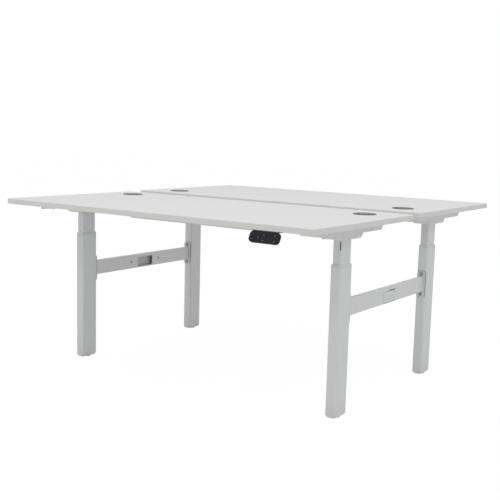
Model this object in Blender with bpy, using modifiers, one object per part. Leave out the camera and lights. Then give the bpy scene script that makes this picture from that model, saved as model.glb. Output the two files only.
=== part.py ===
"""Back-to-back electric sit-stand desk for two people.

Two tops stand on one pair of end frames. Each end frame is two telescopic
columns joined by a low beam, and each top rises and sinks by itself on its
own pair of columns.

Metres, +Z up. The origin is on the floor under the middle of the two tops,
+X is to the right of someone at the front desk, and that person looks along +Y.
"""
import math

import bmesh
import bpy
from mathutils import Matrix

# Clearance between pieces that touch
GAP = 0.0003

# Tops
TOP_LENGTH = 1.600
TOP_DEPTH = 0.800
TOP_THICKNESS = 0.022
TOP_CORNER = 0.020
TOP_EDGE = 0.002
TOP_SPACING = 0.060

# Where the frame stands under the tops
COLUMN_INSET = 0.100
COLUMN_TO_GAP = 0.025
FRAME_SHIFT_X = -0.020
FRAME_SHIFT_Y = -0.015

# Outer tubes, which stand on the floor
OUTER_X = 0.048
OUTER_Y = 0.092
OUTER_WALL = 0.002
OUTER_CORNER = 0.010
OUTER_LENGTH = 0.595
TOE_ROUND = 0.012
TOE_PLATE = 0.008

# Levelling feet
FOOT_RADIUS = 0.018
FOOT_HEIGHT = 0.006
FOOT_EDGE = 0.0015
STEM_RADIUS = 0.005
STEM_REACH = 0.003

# Collars that guide the inner tubes
COLLAR_HEIGHT = 0.010
COLLAR_SKIRT = 0.025
COLLAR_LIP = 0.0006

# Inner tubes
GLIDE_ROOM_X = 0.003
GLIDE_ROOM_Y = 0.005
INNER_WALL = 0.002
FRONT_EXTENSION = 0.098
REAR_EXTENSION = 0.101
PARKED_EXTENSION = 0.012
TUBE_END_CLEARANCE = 0.008
SLOT_WIDTH = 0.005
SLOT_LENGTH = 0.033
SLOT_DROP = 0.007
SLOT_FROM_EDGE = 0.0055

# Lifting screws and the push tubes with their nuts
SCREW_RADIUS = 0.008
JOURNAL_RADIUS = 0.006
JOURNAL_REACH = 0.010
SHOULDER_DROP = 0.004
SCREW_END_CLEARANCE = 0.012
SCREW_ROOM = 0.003
PUSH_WALL = 0.003
PUSH_RECESS = 0.060
NUT_ROOM = 0.002
NUT_LENGTH = 0.020

# Beams of the end frames
BEAM_HEIGHT = 0.070
BEAM_THICKNESS = 0.020
BEAM_WALL = 0.0025
BEAM_CORNER = 0.003
BEAM_CENTRE = 0.432
FLANGE_WIDTH = 0.040
FLANGE_HEIGHT = 0.120
FLANGE_THICKNESS = 0.005
FLANGE_CORNER = 0.006
WINDOW_LENGTH = 0.110
WINDOW_HEIGHT = 0.048
WINDOW_CORNER = 0.005
WINDOW_DROP = 0.005
SCREW_HOLE_RADIUS = 0.0035
SCREW_HOLE_SPACING = 0.206

# Side brackets under the tops
BRACKET_WIDTH = 0.096
BRACKET_LENGTH = 0.513
BRACKET_INNER_LENGTH = 0.300
BRACKET_DEPTH = 0.0335
BRACKET_SLANT = 0.024
BRACKET_WEB = 0.003
BRACKET_WALL = 0.0025

# Motor housings and gear motors
HOUSING_ROOM = 0.0025
HOUSING_LENGTH = 0.180
HOUSING_DROP = 0.020
HOUSING_SLANT = 0.018
HOUSING_WALL = 0.0025
GEARBOX_WIDTH = 0.044
GEARBOX_LENGTH = 0.050
GEARBOX_ROOM = 0.002
MOTOR_ROOM = 0.006
MOTOR_END_ROOM = 0.002

# Crossbars between the housings
SLEEVE_LENGTH = 0.780
SLEEVE_WIDTH = 0.046
SLEEVE_HEIGHT = 0.0245
SLEEVE_WALL = 0.002
SLEEVE_CORNER = 0.003
RAIL_HEIGHT = 0.014
RAIL_WALL = 0.002
RAIL_CORNER = 0.0015
RAIL_OVERLAP = 0.150

# Control boxes
BOX_LENGTH = 0.260
BOX_WIDTH = 0.100
BOX_HEIGHT = 0.040
BOX_EDGE = 0.004
BOX_INSET = 0.140
INLET_WIDTH = 0.028
INLET_HEIGHT = 0.020
INLET_DEPTH = 0.014
INLET_FROM_SIDE = 0.024
SOCKET_WIDTH = 0.014
SOCKET_COUNT = 3
SOCKET_PITCH = 0.0176
SOCKET_FROM_INLET = 0.0106

# Cable ports in the tops
PORT_FROM_END = 0.155
PORT_INSET = 0.150
PORT_RADIUS = 0.040
PORT_FLANGE = 0.008
PORT_FLANGE_THICKNESS = 0.002
LINER_RISE = 0.003
LINER_WALL = 0.003
LEDGE_WIDTH = 0.0022
LEDGE_DROP = 0.001
LEDGE_THICKNESS = 0.002
SEAT_WALL = 0.0022
LID_GAP = 0.0005
NOTCH_WIDTH = 0.020
NOTCH_DEPTH = 0.014
NOTCH_CORNER = 0.004

# Keypads under the tops' outer edges
KEYPAD_FROM_END = 0.20225
KEYPAD_WIDTH = 0.1265
KEYPAD_THICKNESS = 0.013
KEYPAD_CORNER = 0.0145
KEYPAD_EDGE = 0.0015
KEYPAD_TILT = math.radians(27.0)
KEYPAD_OVERHANG = 0.017
KEYPAD_DROP = 0.040
PLATE_WIDTH = 0.114
PLATE_LENGTH = 0.062
PLATE_THICKNESS = 0.004
PLATE_CORNER = 0.008
ROCKER_WIDTH = 0.015
ROCKER_HEIGHT = 0.030
ROCKER_THICKNESS = 0.0045
ROCKER_PROUD = 0.0012
ROCKER_CORNER = 0.004
ROCKER_EDGE = 0.0008
ROCKER_FROM_END = 0.0145
ROCKER_GAP = 0.0006
ROCKER_ROOM = 0.0017

# Facets of the round shapes
CORNER_STEPS = 4
SMALL_CORNER_STEPS = 2
EDGE_STEPS = 2
TOE_STEPS = 3
SHAFT_STEPS = 16
PORT_STEPS = 24

# Heights above the floor that the others follow
TUBE_BOTTOM = FOOT_HEIGHT + GAP
TUBE_TOP = TUBE_BOTTOM + OUTER_LENGTH
COLLAR_BOTTOM = TUBE_TOP + GAP
COLLAR_TOP = COLLAR_BOTTOM + COLLAR_HEIGHT
TOE_TOP = TUBE_BOTTOM + TOE_PLATE

# Heights above the underside of a motor housing
BRACKET_BOTTOM = HOUSING_DROP
BRACKET_TOP = BRACKET_BOTTOM + BRACKET_DEPTH
TOP_UNDERSIDE = BRACKET_TOP + GAP
TOP_SURFACE = TOP_UNDERSIDE + TOP_THICKNESS
HOUSING_TOP = BRACKET_TOP - BRACKET_WEB - GAP
RAIL_TOP = BRACKET_BOTTOM - SLEEVE_WALL - GAP

# Places that follow the tops
COLUMN_SPAN = TOP_LENGTH - 2 * COLUMN_INSET
COLUMN_SPREAD = TOP_DEPTH + TOP_SPACING - 2 * COLUMN_TO_GAP
PORT_SPAN = TOP_LENGTH - 2 * PORT_FROM_END
KEYPAD_X = TOP_LENGTH / 2 - KEYPAD_FROM_END

# Sizes that follow from a fit
INNER_X = OUTER_X - 2 * (OUTER_WALL + GLIDE_ROOM_X)
INNER_Y = OUTER_Y - 2 * (OUTER_WALL + GLIDE_ROOM_Y)
INNER_CORNER = OUTER_CORNER - OUTER_WALL - GLIDE_ROOM_X
PUSH_RADIUS = SCREW_RADIUS + SCREW_ROOM + PUSH_WALL
NUT_RADIUS = INNER_X / 2 - INNER_WALL - NUT_ROOM
HOUSING_WIDTH = BRACKET_WIDTH - 2 * (BRACKET_WALL + HOUSING_ROOM)
LINER_DEPTH = TOP_THICKNESS - LINER_RISE
POCKET_DEPTH = ROCKER_THICKNESS - ROCKER_PROUD + ROCKER_ROOM

# The upper edge of the keypad's tilted face ends inside the mounting plate
KEYPAD_HEIGHT = (KEYPAD_DROP - GAP - PLATE_THICKNESS / 4) / math.cos(KEYPAD_TILT)


def collection(name):
    """New collection in the scene."""
    group = bpy.data.collections.new(name)
    bpy.context.scene.collection.children.link(group)
    return group


def material(name, colour, roughness, metallic):
    """Principled material of one plain finish."""
    finish = bpy.data.materials.new(name)
    finish.use_nodes = True
    shader = finish.node_tree.nodes["Principled BSDF"]
    shader.inputs["Base Color"].default_value = (*colour, 1.0)
    shader.inputs["Roughness"].default_value = roughness
    shader.inputs["Metallic"].default_value = metallic
    return finish


def baked(source):
    """Mesh of an object with its modifiers applied; the object goes away."""
    bpy.context.view_layer.update()
    evaluated = source.evaluated_get(bpy.context.evaluated_depsgraph_get())
    mesh = bpy.data.meshes.new_from_object(evaluated)
    mesh.transform(source.matrix_world)
    bpy.data.objects.remove(source)
    return welded(mesh)


def welded(mesh):
    """Merge doubles and turn the faces outwards."""
    shape = bmesh.new()
    shape.from_mesh(mesh)
    bmesh.ops.remove_doubles(shape, verts=shape.verts, dist=0.00002)
    bmesh.ops.recalc_face_normals(shape, faces=shape.faces)
    shape.to_mesh(mesh)
    shape.free()
    return mesh


def loose(data):
    """Object that only lives until its mesh is baked."""
    temporary = bpy.data.objects.new("temporary", data)
    bpy.context.scene.collection.objects.link(temporary)
    return temporary


def rounded_rectangle(width, depth, radius, steps=CORNER_STEPS):
    """Outline of a rectangle with round corners, anticlockwise about the origin."""
    points = []
    for corner in range(4):
        start = corner * math.pi / 2
        middle_x = math.copysign(width / 2 - radius, math.cos(start + math.pi / 4))
        middle_y = math.copysign(depth / 2 - radius, math.sin(start + math.pi / 4))
        for step in range(steps + 1):
            angle = start + step * math.pi / 2 / steps
            points.append((middle_x + radius * math.cos(angle), middle_y + radius * math.sin(angle)))
    return points


def small_rectangle(width, depth, radius):
    """Outline of a rectangle with small round corners, which need few facets."""
    return rounded_rectangle(width, depth, radius, SMALL_CORNER_STEPS)


def at_height(outline, height):
    """Outline lifted to a height."""
    return [(x, y, height) for x, y in outline]


def loft(sections, ring):
    """Closed mesh through sections with equal counts, joined into a ring or capped."""
    shape = bmesh.new()
    rows = [[shape.verts.new(point) for point in section] for section in sections]
    count = len(rows[0])
    pairs = list(zip(rows, rows[1:]))
    if ring:
        pairs.append((rows[-1], rows[0]))
    else:
        shape.faces.new(rows[0])
        shape.faces.new(rows[-1])
    for row, following in pairs:
        for index in range(count):
            after = (index + 1) % count
            shape.faces.new((row[index], following[index], following[after], row[after]))
    mesh = bpy.data.meshes.new("loft")
    shape.to_mesh(mesh)
    shape.free()
    return welded(mesh)


def prism(outlines, height):
    """Flat outlines filled and raised from z = 0; inner outlines become holes."""
    curve = bpy.data.curves.new("outline", "CURVE")
    curve.dimensions = "2D"
    curve.fill_mode = "BOTH"
    curve.extrude = height / 2
    for outline in outlines:
        spline = curve.splines.new("POLY")
        spline.points.add(len(outline) - 1)
        for point, (x, y) in zip(spline.points, outline):
            point.co = (x, y, 0.0, 1.0)
        spline.use_cyclic_u = True
    mesh = baked(loose(curve))
    mesh.transform(Matrix.Translation((0.0, 0.0, height / 2)))
    shape = bmesh.new()
    shape.from_mesh(mesh)
    bmesh.ops.dissolve_limit(
        shape, angle_limit=math.radians(1.0), verts=shape.verts, edges=shape.edges)
    shape.to_mesh(mesh)
    shape.free()
    return mesh


def turned(profile, steps):
    """Profile of (radius, height) points, down the outside, turned about Z."""
    mesh = bpy.data.meshes.new("profile")
    closed = profile[0][0] > 0.0
    edges = [(index, index + 1) for index in range(len(profile) - 1)]
    if closed:
        edges.append((len(profile) - 1, 0))
    mesh.from_pydata([(radius, 0.0, height) for radius, height in profile], edges, [])
    blank = loose(mesh)
    screw = blank.modifiers.new("turn", "SCREW")
    screw.axis = "Z"
    screw.steps = steps
    screw.render_steps = steps
    screw.use_merge_vertices = True
    screw.merge_threshold = 0.00005
    return baked(blank)


def box(size_x, size_y, size_z):
    """Box on z = 0, centred over the origin."""
    bpy.ops.mesh.primitive_cube_add(size=1.0)
    cube = bpy.context.object
    cube.scale = (size_x, size_y, size_z)
    cube.location = (0.0, 0.0, size_z / 2)
    return baked(cube)


def cylinder(radius, length):
    """Cylinder on z = 0 about the Z axis."""
    bpy.ops.mesh.primitive_cylinder_add(vertices=SHAFT_STEPS, radius=radius, depth=length)
    drum = bpy.context.object
    drum.location = (0.0, 0.0, length / 2)
    return baked(drum)


def moved(mesh, x=0.0, y=0.0, z=0.0):
    """Mesh moved by an offset."""
    mesh.transform(Matrix.Translation((x, y, z)))
    return mesh


def swept_x(mesh):
    """Turn a prism drawn in (Y, Z) so that it runs along X."""
    mesh.transform(Matrix(((0, 0, 1, 0), (1, 0, 0, 0), (0, 1, 0, 0), (0, 0, 0, 1))))
    return mesh


def swept_y(mesh):
    """Turn a prism drawn in (Z, X) so that it runs along Y."""
    mesh.transform(Matrix(((0, 1, 0, 0), (0, 0, 1, 0), (1, 0, 0, 0), (0, 0, 0, 1))))
    return mesh


def combined(mesh, others, operation):
    """Boolean of a mesh with a list of others."""
    body = loose(mesh)
    tools = [loose(other) for other in others]
    for tool in tools:
        tool.hide_render = True
        tool.display_type = "WIRE"
        boolean = body.modifiers.new("boolean", "BOOLEAN")
        boolean.operation = operation
        boolean.object = tool
    result = baked(body)
    for tool in tools:
        bpy.data.objects.remove(tool)
    return result


def cut(mesh, *tools):
    """Mesh with the tools taken away."""
    return combined(mesh, tools, "DIFFERENCE")


def joined(mesh, *others):
    """Mesh and others as one body."""
    return combined(mesh, others, "UNION")


def bevelled(mesh, width, steps=EDGE_STEPS):
    """Mesh with its sharp edges rounded."""
    body = loose(mesh)
    bevel = body.modifiers.new("edge", "BEVEL")
    bevel.width = width
    bevel.segments = steps
    bevel.limit_method = "ANGLE"
    bevel.angle_limit = math.radians(60.0)
    return baked(body)


def empty(name, location, turn=0.0, parent=None):
    """Empty that carries the pieces of one moving body."""
    carrier = bpy.data.objects.new(name, None)
    bpy.context.scene.collection.objects.link(carrier)
    carrier.location = location
    carrier.rotation_euler = (0.0, 0.0, turn)
    carrier.parent = parent
    return carrier


def place(name, mesh, finish, location=(0.0, 0.0, 0.0), turn=0.0, parent=None):
    """Named piece with its finish, at its place under its carrier."""
    piece = bpy.data.objects.new(name, mesh)
    PARTS.objects.link(piece)
    mesh.materials.clear()
    mesh.materials.append(finish)
    mesh.shade_smooth()
    mesh.set_sharp_from_angle(angle=math.radians(35.0))
    piece.location = location
    piece.rotation_euler = (0.0, 0.0, turn)
    piece.parent = parent
    return piece


def outer_tube_mesh():
    """Outer tube: closed at the toe with a rounded edge, open at the top."""
    toe = []
    for step in range(TOE_STEPS + 1):
        angle = step * math.pi / 2 / TOE_STEPS
        inset = TOE_ROUND * (1.0 - math.cos(angle))
        height = TOE_ROUND * (1.0 - math.sin(angle))
        corner = max(OUTER_CORNER - inset, OUTER_WALL)
        outline = rounded_rectangle(OUTER_X - 2 * inset, OUTER_Y - 2 * inset, corner)
        toe.append(at_height(outline, height))
    outer = rounded_rectangle(OUTER_X, OUTER_Y, OUTER_CORNER)
    bore = rounded_rectangle(
        OUTER_X - 2 * OUTER_WALL, OUTER_Y - 2 * OUTER_WALL, OUTER_CORNER - OUTER_WALL)
    inside = [at_height(bore, TOE_PLATE), at_height(bore, OUTER_LENGTH)]
    cup = loft(inside + [at_height(outer, OUTER_LENGTH)] + toe, ring=False)
    stem_hole = cylinder(STEM_RADIUS + GAP, 2 * TOE_PLATE)
    return cut(cup, moved(stem_hole, z=-TOE_PLATE / 2))


def foot_mesh():
    """Levelling foot: a pad and its threaded stem."""
    stem_top = TUBE_BOTTOM + TOE_PLATE + STEM_REACH
    return turned([
        (0.0, stem_top),
        (STEM_RADIUS - FOOT_EDGE, stem_top),
        (STEM_RADIUS, stem_top - FOOT_EDGE),
        (STEM_RADIUS, FOOT_HEIGHT),
        (FOOT_RADIUS - FOOT_EDGE, FOOT_HEIGHT),
        (FOOT_RADIUS, FOOT_HEIGHT - FOOT_EDGE),
        (FOOT_RADIUS, FOOT_EDGE),
        (FOOT_RADIUS - FOOT_EDGE, 0.0),
        (0.0, 0.0)], SHAFT_STEPS)


def collar_mesh():
    """Collar: a shoulder on the outer tube and a skirt down inside it."""
    sections = []
    reach_x = (OUTER_X - INNER_X) / 2 - GAP - COLLAR_LIP
    reach_y = (OUTER_Y - INNER_Y) / 2 - GAP - COLLAR_LIP
    for step in range(TOE_STEPS + 1):
        angle = step * math.pi / 2 / TOE_STEPS
        share = 1.0 - math.cos(angle)
        height = COLLAR_HEIGHT * math.sin(angle)
        corner = max(OUTER_CORNER - reach_x * share, INNER_CORNER)
        outline = rounded_rectangle(OUTER_X - 2 * reach_x * share, OUTER_Y - 2 * reach_y * share, corner)
        sections.append(at_height(outline, height))
    bore = rounded_rectangle(INNER_X + 2 * GAP, INNER_Y + 2 * GAP, INNER_CORNER + GAP)
    fit = OUTER_WALL + GAP
    skirt = rounded_rectangle(OUTER_X - 2 * fit, OUTER_Y - 2 * fit, OUTER_CORNER - fit)
    sections.append(at_height(bore, COLLAR_HEIGHT))
    sections.append(at_height(bore, -COLLAR_SKIRT))
    sections.append(at_height(skirt, -COLLAR_SKIRT))
    sections.append(at_height(skirt, 0.0))
    return loft(sections, ring=True)


def push_tube_mesh():
    """Push tube standing on the toe plate, with the lifting nut as its head."""
    length = OUTER_LENGTH - TOE_PLATE - GAP - PUSH_RECESS
    nut_foot = length - NUT_LENGTH
    thread = SCREW_RADIUS + GAP
    return turned([
        (thread, length),
        (NUT_RADIUS, length),
        (NUT_RADIUS, nut_foot),
        (PUSH_RADIUS, nut_foot),
        (PUSH_RADIUS, 0.0),
        (PUSH_RADIUS - PUSH_WALL, 0.0),
        (PUSH_RADIUS - PUSH_WALL, nut_foot),
        (thread, nut_foot)], SHAFT_STEPS)


def beam_mesh(length):
    """Hollow beam along Y with an end flange welded to each end."""
    tube_length = length - FLANGE_THICKNESS
    outer = small_rectangle(BEAM_HEIGHT, BEAM_THICKNESS, BEAM_CORNER)
    bore = small_rectangle(
        BEAM_HEIGHT - 2 * BEAM_WALL, BEAM_THICKNESS - 2 * BEAM_WALL, BEAM_CORNER / 2)
    tube = moved(swept_y(prism([outer, bore], tube_length)), y=-tube_length / 2)
    flange = small_rectangle(FLANGE_HEIGHT, FLANGE_WIDTH, FLANGE_CORNER)
    near = moved(swept_y(prism([flange], FLANGE_THICKNESS)), y=-length / 2)
    far = moved(swept_y(prism([flange], FLANGE_THICKNESS)), y=length / 2 - FLANGE_THICKNESS)
    window = small_rectangle(WINDOW_LENGTH, WINDOW_HEIGHT, WINDOW_CORNER)
    opening = moved(swept_x(prism([window], BEAM_THICKNESS)), z=-WINDOW_DROP)
    holes = []
    for side in (-1, 1):
        hole = swept_x(cylinder(SCREW_HOLE_RADIUS, BEAM_THICKNESS))
        holes.append(moved(hole, y=side * SCREW_HOLE_SPACING / 2))
    return joined(cut(tube, opening, *holes), near, far)


def inner_tube_mesh(length, slotted):
    """Inner tube hanging down from z = 0, with a service slot on the right-hand one."""
    outer = rounded_rectangle(INNER_X, INNER_Y, INNER_CORNER)
    bore = rounded_rectangle(
        INNER_X - 2 * INNER_WALL, INNER_Y - 2 * INNER_WALL, INNER_CORNER - INNER_WALL)
    tube = moved(prism([outer, bore], length), z=-length)
    if not slotted:
        return tube
    slot = box(SLOT_WIDTH, 4 * INNER_WALL, SLOT_LENGTH)
    slot_x = INNER_X / 2 - SLOT_FROM_EDGE
    return cut(tube, moved(slot, slot_x, -INNER_Y / 2, -SLOT_DROP - SLOT_LENGTH))


def screw_mesh(length):
    """Lifting screw: a journal up into the gearbox and the threaded shaft below."""
    journal_top = HOUSING_WALL + GAP + JOURNAL_REACH
    return turned([
        (0.0, journal_top),
        (JOURNAL_RADIUS, journal_top),
        (JOURNAL_RADIUS, -SHOULDER_DROP),
        (SCREW_RADIUS, -SHOULDER_DROP),
        (SCREW_RADIUS, -length),
        (0.0, -length)], SHAFT_STEPS)


def bracket_mesh():
    """Side bracket: a web under the top, a long outer flange and a shorter inner one at +X."""
    half = BRACKET_LENGTH / 2
    profile = [
        (-half + BRACKET_SLANT, BRACKET_BOTTOM),
        (half - BRACKET_SLANT, BRACKET_BOTTOM),
        (half, BRACKET_TOP),
        (-half, BRACKET_TOP)]
    block = moved(swept_x(prism([profile], BRACKET_WIDTH)), x=-BRACKET_WIDTH / 2)
    wall = BRACKET_WIDTH / 2 - BRACKET_WALL
    inner_half = BRACKET_INNER_LENGTH / 2
    channel = [
        (-wall, -BRACKET_LENGTH), (BRACKET_WIDTH, -BRACKET_LENGTH), (BRACKET_WIDTH, -inner_half), (wall, -inner_half),
        (wall, inner_half), (BRACKET_WIDTH, inner_half), (BRACKET_WIDTH, BRACKET_LENGTH), (-wall, BRACKET_LENGTH)]
    return cut(block, moved(prism([channel], BRACKET_DEPTH), z=BRACKET_TOP - BRACKET_WEB - BRACKET_DEPTH))


def housing_profile(inset, height):
    """Side outline of the motor housing, drawn in by a wall and raised to a height."""
    half = HOUSING_LENGTH / 2 - inset
    sole = half - HOUSING_SLANT * (HOUSING_DROP - inset) / HOUSING_DROP
    return [(-sole, inset), (sole, inset), (half, HOUSING_DROP), (half, height), (-half, height),
            (-half, HOUSING_DROP)]


def housing_mesh():
    """Motor housing: a tray with slanted ends, closed above by the bracket's web."""
    shell = swept_x(prism([housing_profile(0.0, HOUSING_TOP)], HOUSING_WIDTH))
    inner_width = HOUSING_WIDTH - 2 * HOUSING_WALL
    cavity = swept_x(prism([housing_profile(HOUSING_WALL, 2 * HOUSING_TOP)], inner_width))
    shaft_hole = cylinder(JOURNAL_RADIUS + GAP, 2 * HOUSING_WALL)
    return cut(
        moved(shell, x=-HOUSING_WIDTH / 2),
        moved(cavity, x=-inner_width / 2),
        moved(shaft_hole, z=-HOUSING_WALL / 2))


def gear_motor_mesh():
    """Gear motor: the gearbox over the screw and a motor lying along the housing."""
    floor = HOUSING_WALL + GAP
    height = HOUSING_TOP - floor - GEARBOX_ROOM
    gearbox = bevelled(moved(box(GEARBOX_WIDTH, GEARBOX_LENGTH, height), z=floor), GEARBOX_ROOM, 1)
    reach = HOUSING_LENGTH / 2 - HOUSING_SLANT - HOUSING_WALL - MOTOR_END_ROOM
    motor = moved(swept_y(cylinder(height / 2 - MOTOR_ROOM, reach)), z=floor + height / 2)
    socket = cylinder(JOURNAL_RADIUS + GAP, JOURNAL_REACH + 2 * GAP)
    return cut(joined(gearbox, motor), moved(socket, z=floor - GAP))


def sleeve_mesh():
    """Middle sleeve of the crossbar."""
    outer = small_rectangle(SLEEVE_WIDTH, SLEEVE_HEIGHT, SLEEVE_CORNER)
    bore = small_rectangle(
        SLEEVE_WIDTH - 2 * SLEEVE_WALL, SLEEVE_HEIGHT - 2 * SLEEVE_WALL, SLEEVE_CORNER / 2)
    tube = swept_x(prism([outer, bore], SLEEVE_LENGTH))
    return moved(tube, x=-SLEEVE_LENGTH / 2, z=BRACKET_BOTTOM - SLEEVE_HEIGHT / 2)


def rail_mesh(length):
    """End rail of the crossbar, from its outer end at x = 0 towards +X."""
    width = SLEEVE_WIDTH - 2 * SLEEVE_WALL - 2 * GAP
    outer = small_rectangle(width, RAIL_HEIGHT, RAIL_CORNER)
    bore = small_rectangle(width - 2 * RAIL_WALL, RAIL_HEIGHT - 2 * RAIL_WALL, RAIL_CORNER / 2)
    return moved(swept_x(prism([outer, bore], length)), z=RAIL_TOP - RAIL_HEIGHT / 2)


def top_mesh():
    """Desk top with rounded corners and edges and a hole for each cable port."""
    outline = rounded_rectangle(TOP_LENGTH, TOP_DEPTH, TOP_CORNER)
    board = bevelled(prism([outline], TOP_THICKNESS), TOP_EDGE)
    middle = -(TOP_SPACING + TOP_DEPTH) / 2
    holes = []
    for side in (-1, 1):
        drill = turned([
            (0.0, 2 * TOP_THICKNESS),
            (PORT_RADIUS, 2 * TOP_THICKNESS),
            (PORT_RADIUS, -TOP_THICKNESS),
            (0.0, -TOP_THICKNESS)], PORT_STEPS)
        holes.append(moved(drill, side * PORT_SPAN / 2, port_y()))
    return cut(moved(board, y=middle), *holes)


def port_y():
    """Line of the cable ports, measured from the top's inner edge."""
    return -TOP_SPACING / 2 - PORT_INSET


def liner_mesh():
    """Liner of a cable port: a flange, a seat for the lid and a ledge under it."""
    outside = PORT_RADIUS - GAP
    bore = outside - LINER_WALL
    seat = outside - SEAT_WALL
    ledge = bore - LEDGE_WIDTH
    flange_top = GAP + PORT_FLANGE_THICKNESS
    ledge_foot = -LEDGE_DROP - LEDGE_THICKNESS
    return turned([
        (seat, flange_top),
        (PORT_RADIUS + PORT_FLANGE - PORT_FLANGE_THICKNESS / 2, flange_top),
        (PORT_RADIUS + PORT_FLANGE, flange_top - PORT_FLANGE_THICKNESS / 2),
        (PORT_RADIUS + PORT_FLANGE, GAP),
        (outside, GAP),
        (outside, -LINER_DEPTH),
        (bore, -LINER_DEPTH),
        (bore, ledge_foot),
        (ledge, ledge_foot),
        (ledge, -LEDGE_DROP),
        (seat, -LEDGE_DROP)], PORT_STEPS)


def lid_mesh():
    """Lid of a cable port, flush with the flange, with a notch for the cables."""
    radius = PORT_RADIUS - GAP - SEAT_WALL - LID_GAP
    foot = -LEDGE_DROP + GAP
    lid_top = GAP + PORT_FLANGE_THICKNESS
    disc = turned([
        (0.0, lid_top),
        (radius - GAP, lid_top),
        (radius, lid_top - GAP),
        (radius, foot),
        (0.0, foot)], PORT_STEPS)
    notch = small_rectangle(NOTCH_WIDTH, 2 * NOTCH_DEPTH, NOTCH_CORNER)
    opening = moved(prism([notch], 4 * PORT_FLANGE_THICKNESS), y=radius, z=-2 * PORT_FLANGE_THICKNESS)
    return cut(disc, opening)


def control_box_mesh():
    """Control box with a mains inlet and the motor sockets in its end."""
    case = bevelled(box(BOX_LENGTH, BOX_WIDTH, BOX_HEIGHT), BOX_EDGE, 1)
    inlet = box(2 * INLET_DEPTH, INLET_WIDTH, INLET_HEIGHT)
    inlet_y = -BOX_WIDTH / 2 + INLET_FROM_SIDE
    socket_z = (BOX_HEIGHT - INLET_HEIGHT) / 2
    recesses = [moved(inlet, BOX_LENGTH / 2, inlet_y, socket_z)]
    first = inlet_y + INLET_WIDTH / 2 + SOCKET_FROM_INLET
    for index in range(SOCKET_COUNT):
        socket = box(2 * INLET_DEPTH, SOCKET_WIDTH, INLET_HEIGHT / 2)
        socket_y = first + index * SOCKET_PITCH
        recesses.append(moved(socket, BOX_LENGTH / 2, socket_y, BOX_HEIGHT / 2 - INLET_HEIGHT / 4))
    return cut(case, *recesses)


def keypad_frame():
    """Place of the keypad's face: its middle, turned so that +Z is the face's normal."""
    face_middle_z = TOP_UNDERSIDE - KEYPAD_DROP + KEYPAD_HEIGHT / 2 * math.cos(KEYPAD_TILT)
    outer_edge = -TOP_SPACING / 2 - TOP_DEPTH
    face_middle_y = outer_edge - KEYPAD_OVERHANG + KEYPAD_HEIGHT / 2 * math.sin(KEYPAD_TILT)
    spot = Matrix.Translation((KEYPAD_X, face_middle_y, face_middle_z))
    return spot @ Matrix.Rotation(math.pi / 2 - KEYPAD_TILT, 4, "X")


def rocker_x():
    """Middle of the rocker key, measured along the keypad's face."""
    return -KEYPAD_WIDTH / 2 + ROCKER_FROM_END


def keypad_mesh():
    """Keypad: a tilted case on a mounting plate, with a pocket for the rocker key."""
    face = rounded_rectangle(KEYPAD_WIDTH, KEYPAD_HEIGHT, KEYPAD_CORNER)
    case = bevelled(moved(prism([face], KEYPAD_THICKNESS), z=-KEYPAD_THICKNESS), KEYPAD_EDGE)
    well = small_rectangle(
        ROCKER_WIDTH + 2 * ROCKER_GAP, ROCKER_HEIGHT + 2 * ROCKER_GAP, ROCKER_CORNER + ROCKER_GAP)
    pocket = moved(prism([well], 2 * POCKET_DEPTH), x=rocker_x(), z=-POCKET_DEPTH)
    case = cut(case, pocket)
    case.transform(keypad_frame())
    outline = small_rectangle(PLATE_WIDTH, PLATE_LENGTH, PLATE_CORNER)
    plate = prism([outline], PLATE_THICKNESS)
    plate_y = -TOP_SPACING / 2 - TOP_DEPTH + TOP_EDGE + PLATE_LENGTH / 2
    moved(plate, KEYPAD_X, plate_y, TOP_UNDERSIDE - GAP - PLATE_THICKNESS)
    return joined(case, plate)


def rocker_mesh():
    """Rocker key for up and down, about its pivot at the origin."""
    outline = small_rectangle(ROCKER_WIDTH, ROCKER_HEIGHT, ROCKER_CORNER)
    key = prism([outline], ROCKER_THICKNESS)
    return bevelled(moved(key, z=ROCKER_PROUD - ROCKER_THICKNESS), ROCKER_EDGE)


def build_base():
    """The two end frames: outer tubes with their feet, collars and push tubes, and the beams."""
    tube = outer_tube_mesh()
    foot = foot_mesh()
    collar = collar_mesh()
    push_tube = push_tube_mesh()
    beam = beam_mesh(COLUMN_SPREAD - OUTER_Y - 2 * GAP)
    for side_name, side in SIDES:
        column_x = FRAME_SHIFT_X + side * COLUMN_SPAN / 2
        for desk_name, row in DESKS:
            column_y = FRAME_SHIFT_Y + row * COLUMN_SPREAD / 2
            prefix = f"{desk_name}_{side_name}"
            place(f"{prefix}_outer_tube", tube, SILVER, (column_x, column_y, TUBE_BOTTOM))
            place(f"{prefix}_levelling_foot", foot, BLACK, (column_x, column_y, 0.0))
            place(f"{prefix}_collar", collar, SILVER, (column_x, column_y, COLLAR_BOTTOM))
            place(f"{prefix}_push_tube", push_tube, STEEL, (column_x, column_y, TOE_TOP + GAP))
        turn = math.pi if side > 0 else 0.0
        place(f"{side_name}_beam", beam, SILVER, (column_x, FRAME_SHIFT_Y, BEAM_CENTRE), turn)


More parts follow.
